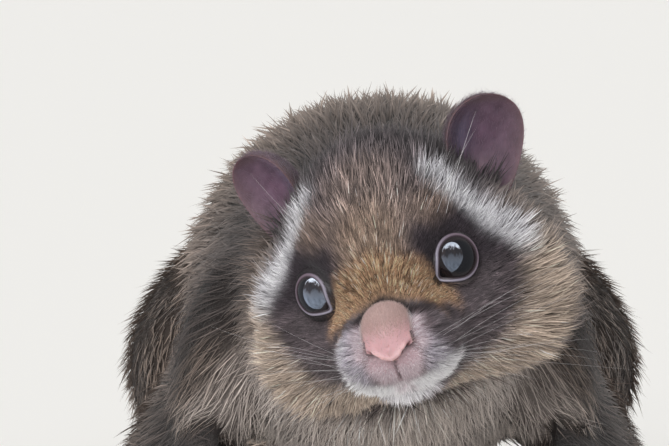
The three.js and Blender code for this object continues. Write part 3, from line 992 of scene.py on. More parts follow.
@dataclass(frozen=True)
class Finish:
    """A finish: its shader's settings, its painted or plain colour, and the clouds over it."""

    name: str
    roughness: float
    specular: float
    mottle: Mottle | None = None
    relief: Relief | None = None
    more: Settings = ()
    plain: Place | None = None

    def material(self) -> Material:
        """Makes the material.

        Returns:
            A material with one shader and what feeds it.
        """
        material = bpy.data.materials.new(self.name)
        material.use_nodes = True
        nodes = Nodes(material.node_tree)
        shader = nodes.tree.nodes["Principled BSDF"]
        settings = (("Roughness", self.roughness), ("Specular IOR Level", self.specular), *self.more)
        for socket, value in settings:
            shader.inputs[socket].default_value = value
        if self.plain:
            shader.inputs["Base Color"].default_value = (*linear(self.plain), 1)
            return material
        colour = nodes.add("ShaderNodeVertexColor", layer_name="coat_colour").outputs["Color"]
        if self.mottle:
            colour = nodes.mottled(colour, self.mottle)
        nodes.join(colour, shader.inputs["Base Color"])
        if self.relief:
            bump = nodes.add("ShaderNodeBump", Strength=1.0, Distance=self.relief.height)
            nodes.join(nodes.cloudy(self.relief.clouds), bump.inputs["Height"])
            nodes.join(bump.outputs["Normal"], shader.inputs["Normal"])
        return material


@dataclass
class Nodes:
    """The nodes of one material or light, and the ways to add to them."""

    tree: NodeTree

    def add(self, kind: str, **values: object) -> Node:
        """Adds a node and sets its sockets, or its options where no socket has the name.

        Args:
            kind: The kind of node.
            **values: Values by socket or option, with _ for a space.

        Returns:
            The new node.
        """
        node = self.tree.nodes.new(kind)
        for name, value in values.items():
            socket = name.replace("_", " ")
            if socket in node.inputs:
                node.inputs[socket].default_value = value
            else:
                setattr(node, name, value)
        return node

    def join(self, output: NodeSocket, entry: NodeSocket) -> None:
        """Feeds one socket from another."""
        self.tree.links.new(output, entry)

    def cloudy(self, clouds: Clouds) -> NodeSocket:
        """Adds cloudy values from 0 to 1 on Object coordinates."""
        mapping = self.add("ShaderNodeMapping", Scale=clouds.stretch)
        noise = self.add("ShaderNodeTexNoise", Scale=clouds.scale, Detail=clouds.detail)
        self.join(self.add("ShaderNodeTexCoord").outputs["Object"], mapping.inputs["Vector"])
        self.join(mapping.outputs["Vector"], noise.inputs["Vector"])
        return noise.outputs["Fac"]

    def mottled(self, base: NodeSocket, mottle: Mottle) -> NodeSocket:
        """Makes a colour darker and lighter by cloudy values, and gives the new colour's socket."""
        ramp = self.add("ShaderNodeMapRange", To_Min=mottle.low, To_Max=mottle.high)
        mix = self.add("ShaderNodeMix", data_type="RGBA", blend_type="MULTIPLY")
        mix.inputs["Factor"].default_value = 1.0
        self.join(self.cloudy(mottle.clouds), ramp.inputs["Value"])
        self.join(base, mix.inputs[6])
        self.join(ramp.outputs["Result"], mix.inputs[7])
        return mix.outputs[2]

    def maths(self, kind: str, first: object, second: object) -> NodeSocket:
        """Adds a sum of two values, each a number or a socket, and gives its result's socket."""
        node = self.add("ShaderNodeMath", operation=kind)
        for entry, given in zip(node.inputs, (first, second)):
            if isinstance(given, (int, float)):
                entry.default_value = given
            else:
                self.join(given, entry)
        return node.outputs["Value"]


HAIR = Finish("hair", 0.62, 0.22, more=(("Sheen Weight", 0.18), ("Sheen Roughness", 0.5)))
STREAKS = Clouds(1400, (1, 0.16, 1))
UNDERFUR = Finish(
    "underfur", 0.85, 0.12, Mottle(STREAKS, 0.45, 1.1), Relief(STREAKS, 0.0006), (("Sheen Weight", 0.1),)
)
NOSE_SKIN = Finish(
    "nose_skin", 0.42, 0.45, Mottle(Clouds(500), 0.9, 1.08), Relief(Clouds(2600, detail=2), 0.00012),
    glow(0.35, (0.0016, 0.0007, 0.0005)),
)
EYE_WET = Finish("eye_wet", 0.03, 0.5, Mottle(Clouds(2200), 0.6, 1.4))
EAR_LEATHER = Finish(
    "ear_leather", 0.6, 0.3, Mottle(Clouds(320), 0.8, 1.15), Relief(Clouds(900, (1, 1, 0.35)), 0.00015),
    glow(0.25, (0.0018, 0.0008, 0.0007)),
)
LID_SKIN = Finish("lid_skin", 0.32, 0.5, Mottle(Clouds(3000), 0.85, 1.1), Relief(Clouds(3000), 0.00006))
CLAW_HORN = Finish("claw_horn", 0.3, 0.5, Mottle(Clouds(1800, (1, 0.2, 1)), 0.7, 1.2))
PAD_SKIN = Finish("foot_pad_skin", 0.6, 0.35, Mottle(Clouds(3200), 0.8, 1.1), Relief(Clouds(3200), 0.00012))
FLOOR = Finish("studio_floor", 0.9, 0.1, plain=(246, 243, 238))


@dataclass(frozen=True)
class Crease:
    """A groove or a ridge along a line on the face: how deep, less than zero for a ridge, and how wide."""

    line: Rows
    depth: float
    width: float

    def laid(self, field: Outline, centre: Array) -> "Crease":
        """The same crease with its line on a field's outline."""
        return replace(self, line=tuple(map(tuple, on_surface(self.line, field, centre))))

    def at(self, points: Array) -> Array:
        """How far each point sinks."""
        distance = nearest_on_line(mirrored(points), np.array(self.line, float))[0]
        return self.depth * np.exp(-((distance / self.width) ** 2))


def by_cleft(place: Array) -> Array:
    """How close places of the head are to the cleft of the upper lip, 0 to 1."""
    along = ease((place[:, 2] + 18.5) / 2) * ease((-10.5 - place[:, 2]) / 0.8) * (place[:, 1] < -20)
    return np.exp(-((place[:, 0] / 0.5) ** 2)) * along


FACE_CREASES = (
    Crease(((0, -28, -11.5), (4.5, -27.5, -10.5)), 0.7, 2.2),  # bed of the nose
    Crease(((0, -29, -11.5), (0, -28.5, -15), (0, -26, -20)), 0.8, 0.55),  # cleft of the upper lip
    Crease(((0, -24, -22.6), (7, -20, -21.2), (12, -8, -22.5)), 0.9, 0.8),  # line of the mouth
)


@dataclass
class Skin:
    """The one skin under the coat: fine on the head, coarser behind, with no seams."""

    head: HeadForm
    coat: Coat
    grain: float = 1.3
    kept: float = 0.3
    smoothing: int = 12
    floor_gap: float = 0.15
    fillet: float = 20
    jaw: float = 12  # the fillet starts this far behind the eyes and is full a further jaw_edge behind
    jaw_edge: float = 14
    seam: tuple[float, float, float, int] = (-3, 8, 22, 24)  # depth, half width, start and smoothing
    body_nodes: tuple[str, ...] = ("neck", "torso")
    paired_nodes: tuple[str, ...] = (
        "upper_arm", "forearm", "forefoot", "thigh", "shank", "hindfoot", "membrane",
    )

    @property
    def nodes(self) -> tuple[str, ...]:
        """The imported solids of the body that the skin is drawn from."""
        sides = [name for name, _ in NAMED_SIDES]
        return self.body_nodes + tuple(f"{name}_{side}" for name in self.paired_nodes for side in sides)

    def head_mesh(self) -> Mesh:
        """Makes the skin of the head, from the head's outline less the coat's depth."""
        middle = np.array(self.head.centre)
        creases = [crease.laid(self.head.field, middle) for crease in FACE_CREASES]

        def place(start: Array) -> Array:
            """Where each point of a starting ball goes."""
            face = self.head.surface(unit(start @ turned((1, 0, 0), -20).T))
            sunk = self.coat.depth(self.head.to_world(face)) + sum(crease.at(face) for crease in creases)
            return self.head.to_world(face - self.head.normals(face) * sunk[:, None])

        return shaped(fine_ball(7), place, "head_skin")

    def joined_nodes(self) -> Mesh:
        """Copies the body's solids into one mesh, each with its triangles merged."""
        whole = bmesh.new()
        for name in self.nodes:
            one = bmesh.new()
            one.from_mesh(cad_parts[name].data)
            bmesh.ops.remove_doubles(one, verts=one.verts, dist=1e-6)
            take_in(whole, finished(one, name))
        return finished(whole, "body_skin")

    def body_mesh(self) -> Mesh:
        """Makes the skin of the body: the solids run together, smoothed and sunk by the coat's depth.

        Returns:
            A closed mesh.
        """
        draft = bpy.data.objects.new("body_draft", self.joined_nodes())
        bpy.context.scene.collection.objects.link(draft)
        remesh = draft.modifiers.new("run_together", "REMESH")
        remesh.mode = "VOXEL"
        remesh.voxel_size = self.grain * MM
        thin = draft.modifiers.new("thin_out", "DECIMATE")
        thin.ratio = self.kept
        soft = draft.modifiers.new("soften", "SMOOTH")
        soft.factor = 0.5
        soft.iterations = self.smoothing
        mesh = taken_from(draft)
        points, normals = read_points(mesh), read_normals(mesh)
        sunk = points - normals * self.coat.depth(points)[:, None]
        on_floor = np.maximum(points[:, 2], self.floor_gap)
        sunk[:, 2] = np.where(points[:, 2] < 1.2, on_floor, sunk[:, 2])
        write_points(mesh, sunk)
        return mesh

    def filled(self, points: Array, body: Array) -> Array:
        """How far the skin is raised to fill the notch between the head and the neck.

        Args:
            points: Places on the joined skin.
            body: The points of the body's skin alone.

        Returns:
            One height for each place.
        """
        outer = body[self.head.field(self.head.to_head(body)) > -2]
        near = outer[np.abs(self.head.behind(outer) - 40) < 60]
        tree = KDTree(len(near))
        for i, spot in enumerate(near):
            tree.insert(spot, i)
        tree.balance()
        place = self.head.to_head(points)
        from_head = self.head.field(place) + self.coat.depth(points)
        gap = np.maximum(from_head, 0)
        behind = (place[:, 1] > self.jaw) & (gap < self.fillet)
        for i in np.flatnonzero(behind & (from_head < 1.5)):
            gap[i] = tree.find(points[i])[2]
        height = self.fillet / 4 * np.maximum(1 - gap / self.fillet, 0) ** 2
        return height * behind * ease((place[:, 1] - self.jaw) / self.jaw_edge)

    def build(self, ends: tuple[Mesh, ...], material: Material) -> Object:
        """Joins body, head, tail and toes into one skin and paints the markings on it.

        Args:
            ends: The tail's core and the toes, as closed meshes.
            material: The skin's finish.

        Returns:
            The skin.
        """
        whole = self.body_mesh()
        body = read_points(whole)
        for other in (self.head_mesh(), *ends):
            whole = united(whole, other)
        points = read_points(whole)
        points = points + read_normals(whole) * self.filled(points, body)[:, None]
        write_points(whole, points)
        points = read_points(whole)
        place = self.head.to_head(points)
        depth, reach, start, times = self.seam
        soften(whole, (np.abs(self.head.field(place) - depth) < reach) & (place[:, 1] > start), times)
        points = read_points(whole)
        tone = self.coat.tone(points, read_normals(whole))
        place = self.head.to_head(points)
        lip = np.max([mark.mask(place) for mark in HEAD_MARKS if mark.fur is Fur.LIP], axis=0)[:, None]
        # painted shade in the cleft of the upper lip
        shade = 1 - 0.65 * by_cleft(place)[:, None]
        # the skin is painted darker than the hairs' roots, partly its own colour and partly painted shade
        # deep in the coat, and pinker on the lips
        paint(whole, (tone.root * (0.7 + 0.5 * lip) + tone.tip * (0.1 + 0.2 * lip)) * shade)
        tails = tuple(f"tail_{i}" for i in (1, 2, 3))
        return add_piece("skin", whole, material, ("head", *self.nodes, *tails))


def take_in(whole: BMesh, mesh: Mesh) -> None:
    """Adds a mesh to a bmesh. The mesh itself is removed."""
    whole.from_mesh(mesh)
    bpy.data.meshes.remove(mesh)


def taken_from(draft: Object) -> Mesh:
    """Applies an object's modifiers. The object itself is removed.

    Args:
        draft: The object.

    Returns:
        The mesh that its modifiers make.
    """
    bpy.context.view_layer.update()
    ready = draft.evaluated_get(bpy.context.evaluated_depsgraph_get())
    mesh = bpy.data.meshes.new_from_object(ready)
    bpy.data.objects.remove(draft)
    return mesh


def united(first: Mesh, second: Mesh) -> Mesh:
    """Joins two closed meshes.

    Args:
        first: The first mesh.
        second: The second mesh.

    Returns:
        One closed mesh round both.
    """
    body, other = bpy.data.objects.new("first", first), bpy.data.objects.new("second", second)
    for piece in (body, other):
        bpy.context.scene.collection.objects.link(piece)
    union = body.modifiers.new("union", "BOOLEAN")
    union.operation = "UNION"
    union.solver = "MANIFOLD"
    union.object = other
    mesh = taken_from(body)
    bpy.data.objects.remove(other)
    return mesh


def soften(mesh: Mesh, chosen: Array, times: int) -> None:
    """Evens out some points of a mesh.

    Args:
        mesh: The mesh.
        chosen: Whether each point is one of them.
        times: How often they are evened out.
    """
    bm = bmesh.new()
    bm.from_mesh(mesh)
    bm.verts.ensure_lookup_table()
    picked = [bm.verts[int(i)] for i in np.flatnonzero(chosen)]
    for _ in range(times):
        bmesh.ops.smooth_vert(bm, verts=picked, factor=0.5, use_axis_x=True, use_axis_y=True, use_axis_z=True)
    bm.to_mesh(mesh)
    bm.free()


@dataclass
class Field:
    """A surface that hair grows from, and where its roots fall."""

    points: Array
    normals: Array
    triangles: Array
    seed: int = 1

    @staticmethod
    def of(mesh: Mesh, seed: int) -> "Field":
        """The field of a mesh."""
        return Field(read_points(mesh), read_normals(mesh), read_triangles(mesh), seed)

    def roots(self, count: int, closeness: Closeness) -> tuple[Array, Array]:
        """Spreads roots evenly over the surface, closer where closeness is higher.

        Args:
            count: How many roots.
            closeness: How close they stand at places with given outward directions.

        Returns:
            The roots' places and the skin's outward direction there.
        """
        random = np.random.default_rng(self.seed)
        a, b, c = np.moveaxis(self.points[self.triangles], 1, 0)
        middle = self.points[self.triangles].mean(axis=1)
        facing = unit(self.normals[self.triangles].mean(axis=1))
        area = np.linalg.norm(np.cross(b - a, c - a), axis=1) / 2
        order = np.lexsort((middle[:, 0] // 4, middle[:, 2] // 4, middle[:, 1] // 4))
        total = np.cumsum((area * np.maximum(closeness(middle, facing), 0))[order])
        at = (np.arange(count) + random.random(count)) / count * total[-1]
        face = order[np.minimum(np.searchsorted(total, at), len(order) - 1)]
        first, second = random.random(count), random.random(count)
        flip = first + second > 1
        first, second = np.where(flip, 1 - first, first), np.where(flip, 1 - second, second)
        mix = np.column_stack([1 - first - second, first, second])[:, :, None]
        place = np.sum(self.points[self.triangles[face]] * mix, axis=1)
        normal = unit(np.sum(self.normals[self.triangles[face]] * mix, axis=1))
        return place, normal


@dataclass
class Growth:
    """How the hairs of one part of the coat grow."""

    coat: Coat
    levels: int = 3
    width: tuple[float, float] = (0.1, 0.022)  # at the root, for each hair and for each millimetre of length
    spread: float = 0.1
    curl: float = 0.08
    sway: float = 0.16
    lock: float = 1.1
    pull: float = 0.55
    bend: float = 12.0
    sunk: float = 0.2
    seed: int = 1
    short_below: float = 2.2  # hair shorter than this many locks is short: it clumps and sways less
    short_lock: float = 0.45
    past_box: float = 2.0
    above_floor: float = 0.3
    brightest: float = 0.92

    def stems(
        self, roots: Array, normals: Array, length: Array, lie: Array, lift: Array, drift: Array
    ) -> Array:
        """Bends a stem up from each root and then down along the coat's lie.

        Args:
            roots: Where the hairs start.
            normals: The skin's outward direction there.
            length: The hairs' lengths.
            lie: The way each one lies, flat on the skin.
            lift: How steeply each one leaves the skin, in radians.
            drift: How far each one strays from that way at its tip.

        Returns:
            The points of each hair, from its foot to its tip.
        """
        bend = math.radians(self.bend)
        steep, flat = lift + bend, np.maximum(lift - bend, 0.02)
        lines = np.empty((len(roots), self.levels, 3))
        lines[:, 0] = roots - normals * self.sunk
        for level in range(1, self.levels):
            share = (level - 0.5) / (self.levels - 1)
            angle = steep + (flat - steep) * share
            way = lie * np.cos(angle)[:, None] + normals * np.sin(angle)[:, None]
            step = unit(way + drift * share) * (length / (self.levels - 1))[:, None]
            lines[:, level] = lines[:, level - 1] + step
        return lines

    def grow(
        self, roots: Array, normals: Array, place_on_map: Callable[[Array], Array]
    ) -> Strands:
        """Grows one hair from each root.

        Args:
            roots: Where the hairs start.
            normals: The skin's outward direction there.
            place_on_map: Gives the roots' places on the bake's map.

        Returns:
            The hairs.
        """
        random = np.random.default_rng(self.seed)
        count = len(roots)
        length = self.coat.length(roots)
        short = length < self.lock * self.short_below
        group, to_middle = locks(roots, self.lock, self.seed)
        small_group, small_way = locks(roots, self.lock * self.short_lock, self.seed)
        group = np.where(short, small_group + group.max() + 1, group)
        to_middle = np.where(short[:, None], small_way * 0.5, to_middle)
        alike = random.normal(size=(group.max() + 1, 5))[group]
        length = length * np.exp(random.normal(0, 0.13, count) + alike[:, 0] * 0.1)
        sway = np.where(short, self.sway * 0.5, self.sway)[:, None]
        lie = self.coat.lie(roots, normals) + flutter(roots, self.lock * 7, self.seed + 10) * sway
        lie = along_skin(lie + random.normal(0, self.spread, (count, 3)) + alike[:, 1:4] * 0.1, normals)
        lift = np.radians(self.coat.lift(roots) + random.normal(0, 3, count) + alike[:, 4] * 2.5)
        drift = random.normal(0, self.curl, (count, 3))
        lines = self.stems(roots, normals, length, lie, np.maximum(lift, math.radians(4)), drift)
        lines += (to_middle * self.pull)[:, None] * np.linspace(0, 1, self.levels)[None, :, None]
        left, right = CAD_BOX[0][0] / MM - self.past_box, CAD_BOX[1][0] / MM + self.past_box
        lines[:, :, 0] = np.clip(lines[:, :, 0], left, right)
        lines[:, :, 2] = np.maximum(lines[:, :, 2], self.above_floor)
        wide = (self.width[0] + self.width[1] * length) * random.uniform(0.75, 1.25, count)
        taper = 1 - 0.35 * np.linspace(0, 1, self.levels)[:-1] ** 1.5
        tone = self.coat.tone(roots, normals)
        ends = self.coat.tone(roots + lie * (length * 0.6)[:, None], normals)
        shared = np.where(short, 0.15, 0.55) * alike[:, 0]
        light = np.exp((random.normal(0, 0.9, count) + shared) * tone.mixed)
        cloud = 1 + 0.09 * flutter(roots, 9, 5)[:, 0]
        tip = np.minimum(ends.tip * (light * cloud)[:, None], self.brightest)
        # the roots are dimmed by a fixed share as painted shade deep in the coat, and vary with each hair's
        # brightness
        root = tone.root * (0.8 * np.sqrt(light) * cloud)[:, None]
        side = unit(np.cross(normals, lie))
        return Strands(lines, side, wide[:, None] * taper, root, tip, place_on_map(roots))


@dataclass
class Down:
    """Very short straight hair on bare skin."""

    random: np.random.Generator
    width: float
    sunk: float
    lift: float
    mixed: float
    brightest: float = 1.0

    def grow(
        self,
        roots: Array,
        normals: Array,
        lie: Array,
        length: Array,
        tones: tuple[Array, Array],
        spots: Array,
    ) -> Strands:
        """Grows one hair from each root.

        Args:
            roots: Where the hairs start.
            normals: The skin's outward direction there.
            lie: The way each one lies, flat on the skin.
            length: The hairs' lengths.
            tones: Their colours at the root and at the tip, as light.
            spots: The roots' places on the bake's map.

        Returns:
            The hairs.
        """
        tips = roots + (lie * 0.94 + normals * self.lift) * length[:, None]
        light = np.exp(self.random.normal(0, self.mixed, (len(roots), 1)))
        root, tip = (tone * light for tone in tones)
        lines = np.stack([roots - normals * self.sunk, tips], axis=1)
        wide = np.full((len(roots), 1), self.width)
        tip = np.minimum(tip, self.brightest)
        return Strands(lines, unit(np.cross(normals, lie)), wide, root, tip, spots)


def plant(name: str, hairs: Strands, material: Material, most: int = 190_000) -> None:
    """Adds hairs as joined pieces, none above a number of triangles.

    Args:
        name: The pieces' name, which a number follows.
        hairs: The hairs.
        material: Their finish.
        most: The most triangles of one piece.
    """
    pieces = math.ceil(len(hairs) * hairs.triangles_each / most)
    for i in range(pieces):
        some = hairs.part(np.arange(i, len(hairs), pieces))
        mesh = mesh_of(f"{name}_{i + 1}", *some.arrays())
        add_piece(f"{name}_{i + 1}", mesh, material, smooth=False)


@dataclass
class Eyes:
    """Both eyeballs with the rims and skin of their lids. Angles are in degrees."""

    head: HeadForm
    pupil: float = 34
    iris: float = 52
    cornea: float = 0.35
    outward: tuple[float, float] = (39.5, 36.5)  # left and right
    upward: float = 19
    opening: float = 45
    narrowed: float = 6.5  # how much less the right eye opens
    corner_reach: float = 51
    corner_drop: tuple[float, float] = (0.54, 0.84)  # left and right
    rim: Rows = (
        (-5, 7.3), (-2, 7.9), (0, 8.12), (1.8, 8.3), (3.8, 8.3), (5.4, 8.15),
        (12, 8.4), (24, 8.4), (36, 8.0), (48, 6.8), (28, 6.6),
    )  # angle past the lids' edge, and distance from the eye's middle
    rim_points: int = 44
    rim_steps: int = 120

    def frame_of(self, side: int) -> tuple[Array, Array, Array, Array]:
        """An eye's middle, its axis, the way to its inner corner and the way across."""
        out = math.radians(self.outward[SIDES.index(side)])
        high = math.radians(self.upward)
        flat = math.cos(high)
        axis = np.array([side * math.sin(out) * flat, -math.cos(out) * flat, math.sin(high)])
        inward = np.array([-side, 0.0, -self.corner_drop[SIDES.index(side)]])
        inward = unit(inward - inward @ axis * axis)
        return self.head.eye(side), axis, inward, np.cross(axis, inward)

    def edge(self, around: Array, side: int) -> Array:
        """How wide the lids open at angles round the eye from its inner corner."""
        off = np.sqrt(around**2 + 0.016)
        opening = self.opening - self.narrowed * (side < 0)
        return opening / np.cos(np.maximum(math.radians(self.corner_reach) - off, 0))

    def past_edge(self, points: Array, side: int) -> tuple[Array, Array]:
        """How many degrees places of the head lie past the lids' edge, and how far from the eye's middle."""
        middle, axis, inward, across = self.frame_of(side)
        off = points - middle
        distance = np.linalg.norm(off, axis=1)
        angle = np.degrees(np.arccos(np.clip(off @ axis / distance, -1, 1)))
        return angle - self.edge(np.arctan2(off @ across, off @ inward), side), distance

    def ball_mesh(self, side: int) -> Mesh:
        """Makes an eyeball, a little fuller at the cornea, painted with iris and pupil.

        Args:
            side: 1 for left, -1 for right.

        Returns:
            A closed mesh.
        """
        middle, axis, _, _ = self.frame_of(side)

        def place(start: Array) -> Array:
            """Where each point of a starting ball goes."""
            radius = self.head.eye_radius + self.cornea * ease((start @ axis - 0.55) / 0.35)
            return self.head.to_world(middle + start * radius[:, None])

        mesh = shaped(ball(96, 64), place, "eyeball")
        ahead = unit(self.head.to_head(read_points(mesh)) - middle) @ axis
        angle = np.degrees(np.arccos(np.clip(ahead, -1, 1)))
        colour = laid_over(linear((16, 13, 13)), (24, 18, 17), ease((self.iris - angle) / 4))
        paint(mesh, laid_over(colour, (9, 8, 10), ease((self.pupil - angle) / 3)))
        return mesh

    def even_rim(self) -> BMesh:
        """Makes the lids round the z axis, as a ring that opens equally wide all round.

        Returns:
            A bmesh in millimetres round the eye's middle.
        """
        closed = np.array([*self.rim, self.rim[0]], float)
        shares = np.arange(self.rim_points) / self.rim_points
        bm = bmesh.new()
        ring = bmesh.ops.create_circle(bm, segments=self.rim_points, radius=0.2)["verts"]
        for vertex, (spread, reach) in zip(ring, smooth_line(closed, shares)):
            angle = math.radians(self.opening + spread)
            vertex.co = (math.sin(angle) * reach, 0, math.cos(angle) * reach)
        edges = list({edge for vertex in ring for edge in vertex.link_edges})
        turn = {"cent": (0, 0, 0), "axis": (0, 0, 1), "angle": math.tau, "steps": self.rim_steps}
        bmesh.ops.spin(bm, geom=ring + edges, use_merge=True, **turn)
        bmesh.ops.remove_doubles(bm, verts=bm.verts, dist=1e-4)
        return bm

    def rim_mesh(self, side: int) -> Mesh:
        """Makes the lids: a ring with a moist rim that reaches to a point at the inner corner.

        Args:
            side: 1 for left, -1 for right.

        Returns:
            A closed mesh.
        """
        middle, axis, inward, across = self.frame_of(side)
        bm = self.even_rim()
        start = np.array([vertex.co for vertex in bm.verts], float)
        reach = np.linalg.norm(start, axis=1)
        past = np.degrees(np.arccos(start[:, 2] / reach)) - self.opening
        around = np.arctan2(start[:, 1], start[:, 0])
        spread = np.radians(past + self.edge(around, side))
        radial = inward * np.cos(around)[:, None] + across * np.sin(around)[:, None]
        way = axis * np.cos(spread)[:, None] + radial * np.sin(spread)[:, None]
        place_points(bm, self.head.to_world(middle + way * reach[:, None]))
        bmesh.ops.recalc_face_normals(bm, faces=bm.faces)
        mesh = finished(bm, "lid")
        colour = laid_over(linear((106, 90, 101)), (142, 136, 150), ease(0.5 + 0.5 * np.cos(around)))
        colour = laid_over(colour, (52, 40, 46), ease((0.8 - past) / 2.4))
        paint(mesh, laid_over(colour, (40, 33, 36), ease((past - 4.2) / 2.0)))
        return mesh

    def brow(self, mesh: Mesh, side: int, coat: Coat, count: int) -> Strands:
        """Grows a number of very short hairs on one eye's lids, up to their bare rims."""

        def closeness(points: Array, _: Array) -> Array:
            """How close they stand: only outside the moist rim and in front."""
            past, distance = self.past_edge(self.head.to_head(points), side)
            return (past > 5.6) * (distance > 8.0)

        roots, normals = Field.of(mesh, 51 + side).roots(count, closeness)
        return Growth(coat, levels=2, sunk=0.1, seed=52 + side).grow(roots, normals, coat.face_map)

    def build(
        self,
        eye: Material,
        lid: Material,
        hair: Material,
        coat: Coat,
        count: int,
    ) -> list[Object]:
        """Adds both eyes, their lids and a number of hairs on each, and gives the eyeballs."""
        balls = []
        for name, side in NAMED_SIDES:
            mesh = self.ball_mesh(side)
            balls.append(add_piece(f"eyeball_{name}", mesh, eye, (f"eye_{name}",)))
            mesh = self.rim_mesh(side)
            add_piece(f"eyelid_{name}", mesh, lid)
            plant(f"eyelid_fur_{name}", self.brow(mesh, side, coat, count), hair)
        return balls


@dataclass
class Nose:
    """The pink bulb of the nose with its pad, its nostrils and the lobes of the lip, and the down on it."""

    head: HeadForm
    centre: Place = (0, -21, -8.5)
    blend: float = 0.8
    lumps: Rows = (
        (0, -22.6, -5.2, 6.9, 7.2, 6.6),
        (0, -25.8, -8.4, 7.1, 4.9, 4.4),
    )
    slit: Crease = Crease(
        ((0.4, -29, -10.9), (2.2, -29, -9.9), (3.9, -28.6, -8.8), (5.4, -28, -7.5)), 0.7, 0.45
    )
    hole: Crease = Crease(((3.3, -28.8, -9.1), (4.6, -28.4, -8.2)), 1.3, 0.75)
    flap: Crease = Crease(((0, -30.5, -9.7), (2.2, -30.5, -8.8), (4.2, -29.8, -7.5)), -0.4, 0.8)
    wing: Crease = Crease(((6.4, -27.4, -7.4), (6.7, -26.6, -5.4)), 0.5, 0.4)
    dimple: Crease = Crease(((0, -31, -6.3), (0, -31, -6.5)), 0.22, 0.4)
    cleft: Crease = Crease(((0, -30, -11.8), (0, -29, -13.5), (0, -28, -18)), 1.2, 0.5)
    reach: float = 20  # further from the centre than any part of the nose

    def __post_init__(self) -> None:
        """Lays every crease on the nose's surface."""
        for name in ("slit", "hole", "flap", "wing", "dimple", "cleft"):
            setattr(self, name, getattr(self, name).laid(self.field, np.array(self.centre)))

    def field(self, points: Array) -> Array:
        """How far points of the head lie outside the nose."""
        return soft_union(points, self.lumps, self.blend)

    def surface(self, directions: Array) -> Array:
        """Where the nose's outline lies in each direction from its centre."""
        return cast(self.field, np.array(self.centre), directions, self.reach)

    def mesh(self) -> Mesh:
        """Makes the bulb, with every crease sunk into it."""

        def place(start: Array) -> Array:
            """Where each point of a starting ball goes."""
            spots = self.surface(start)
            creases = (self.slit, self.hole, self.flap, self.wing, self.dimple, self.cleft)
            sunk = sum(crease.at(spots) for crease in creases) + 1.5 * self.under_slit(spots)
            return self.head.to_world(spots - slopes(self.field, spots) * sunk[:, None])

        return shaped(fine_ball(7), place, "nose_bulb")

    def colours(self, points: Array) -> Array:
        """The pinks of the bulb at places of the head: pad, flap and lip, with painted shade in the slits,
        the nostrils and the cleft.
        """
        pad = ease((-points[:, 2] + 1.5) / 8) * ease((-points[:, 1] - 22) / 5)
        flap = np.clip(self.flap.at(points) / self.flap.depth, 0, 1)
        colour = laid_over(linear((176, 143, 140)), (198, 156, 160), pad)
        colour = laid_over(colour, (232, 196, 196), 0.6 * flap)
        colour = laid_over(colour, (204, 168, 178), self.under_slit(points))
        lain = self.surface(unit(points - np.array(self.centre)))
        # painted shade, by the depth of the slits, the nostrils and the cleft
        deep = (self.slit.at(lain) + self.hole.at(lain)) * 0.8 + self.cleft.at(lain) * 0.6
        return laid_over(colour, (92, 48, 52), np.clip(deep, 0, 1))

    def under_slit(self, place: Array) -> Array:
        """How far places of the head lie under the nostrils' slit, where the lip begins, 0 to 1."""
        return ease((-11.7 + 0.66 * np.abs(place[:, 0]) - place[:, 2]) / 1.2)

    def downy(self, points: Array, _: Array) -> Array:
        """How close the down stands: thick on top, beside the bulb and on the lip, thin on the pad."""
        place = self.head.to_head(points)
        beside = ease((np.abs(place[:, 0]) - 5.6) / 1.4)
        on_top = ease((place[:, 2] + 5) / 6)
        return 0.04 + np.maximum(on_top, np.maximum(self.under_slit(place), beside * 0.7))

    def down(self, mesh: Mesh, count: int) -> Strands:
        """Grows very short pale hair over the top of the bulb and on the lip.

        Args:
            mesh: The bulb.
            count: How many hairs.

        Returns:
            The hairs.
        """
        roots, normals = Field.of(mesh, 21).roots(count, self.downy)
        down = Down(np.random.default_rng(22), width=0.13, sunk=0.08, lift=0.34, mixed=0.12, brightest=0.9)
        place = self.head.to_head(roots)
        way = unit(place - np.array([0, -31.5, -9.5])) + np.array([0, 0.3, 0.1])
        lie = along_skin(way @ self.head.rotation.T + down.random.normal(0, 0.22, way.shape), normals)
        beside = np.abs(place[:, 0])
        border = ease((-place[:, 1] - 20) / 5) * (1 - 0.7 * ease((beside - 5.4) / 1.4))
        length = (2.2 - 1.3 * border) * down.random.uniform(0.75, 1.3, count)
        lip = np.maximum(self.under_slit(place), ease((beside - 5.8) / 1.2))[:, None]
        root = Fur.NOSE_DOWN.root * (1 - lip) + Fur.LIP.root * lip
        tip = Fur.NOSE_DOWN.tip * (1 - lip) + Fur.CHIN.tip * lip
        off = unit(place - np.array(self.centre))
        spots = on_map(turn_share(off[:, 0], -off[:, 1]), off[:, 2] / 2 + 0.5)
        return down.grow(roots, normals, lie, length, (root, tip), spots)

    def build(self, skin: Material, hair: Material, count: int) -> None:
        """Adds the bulb with a number of hairs of down."""
        mesh = self.mesh()
        paint(mesh, self.colours(self.head.to_head(read_points(mesh))))
        add_piece("nose_bulb", mesh, skin, ("nose",))
        plant("nose_down", self.down(mesh, count), hair)


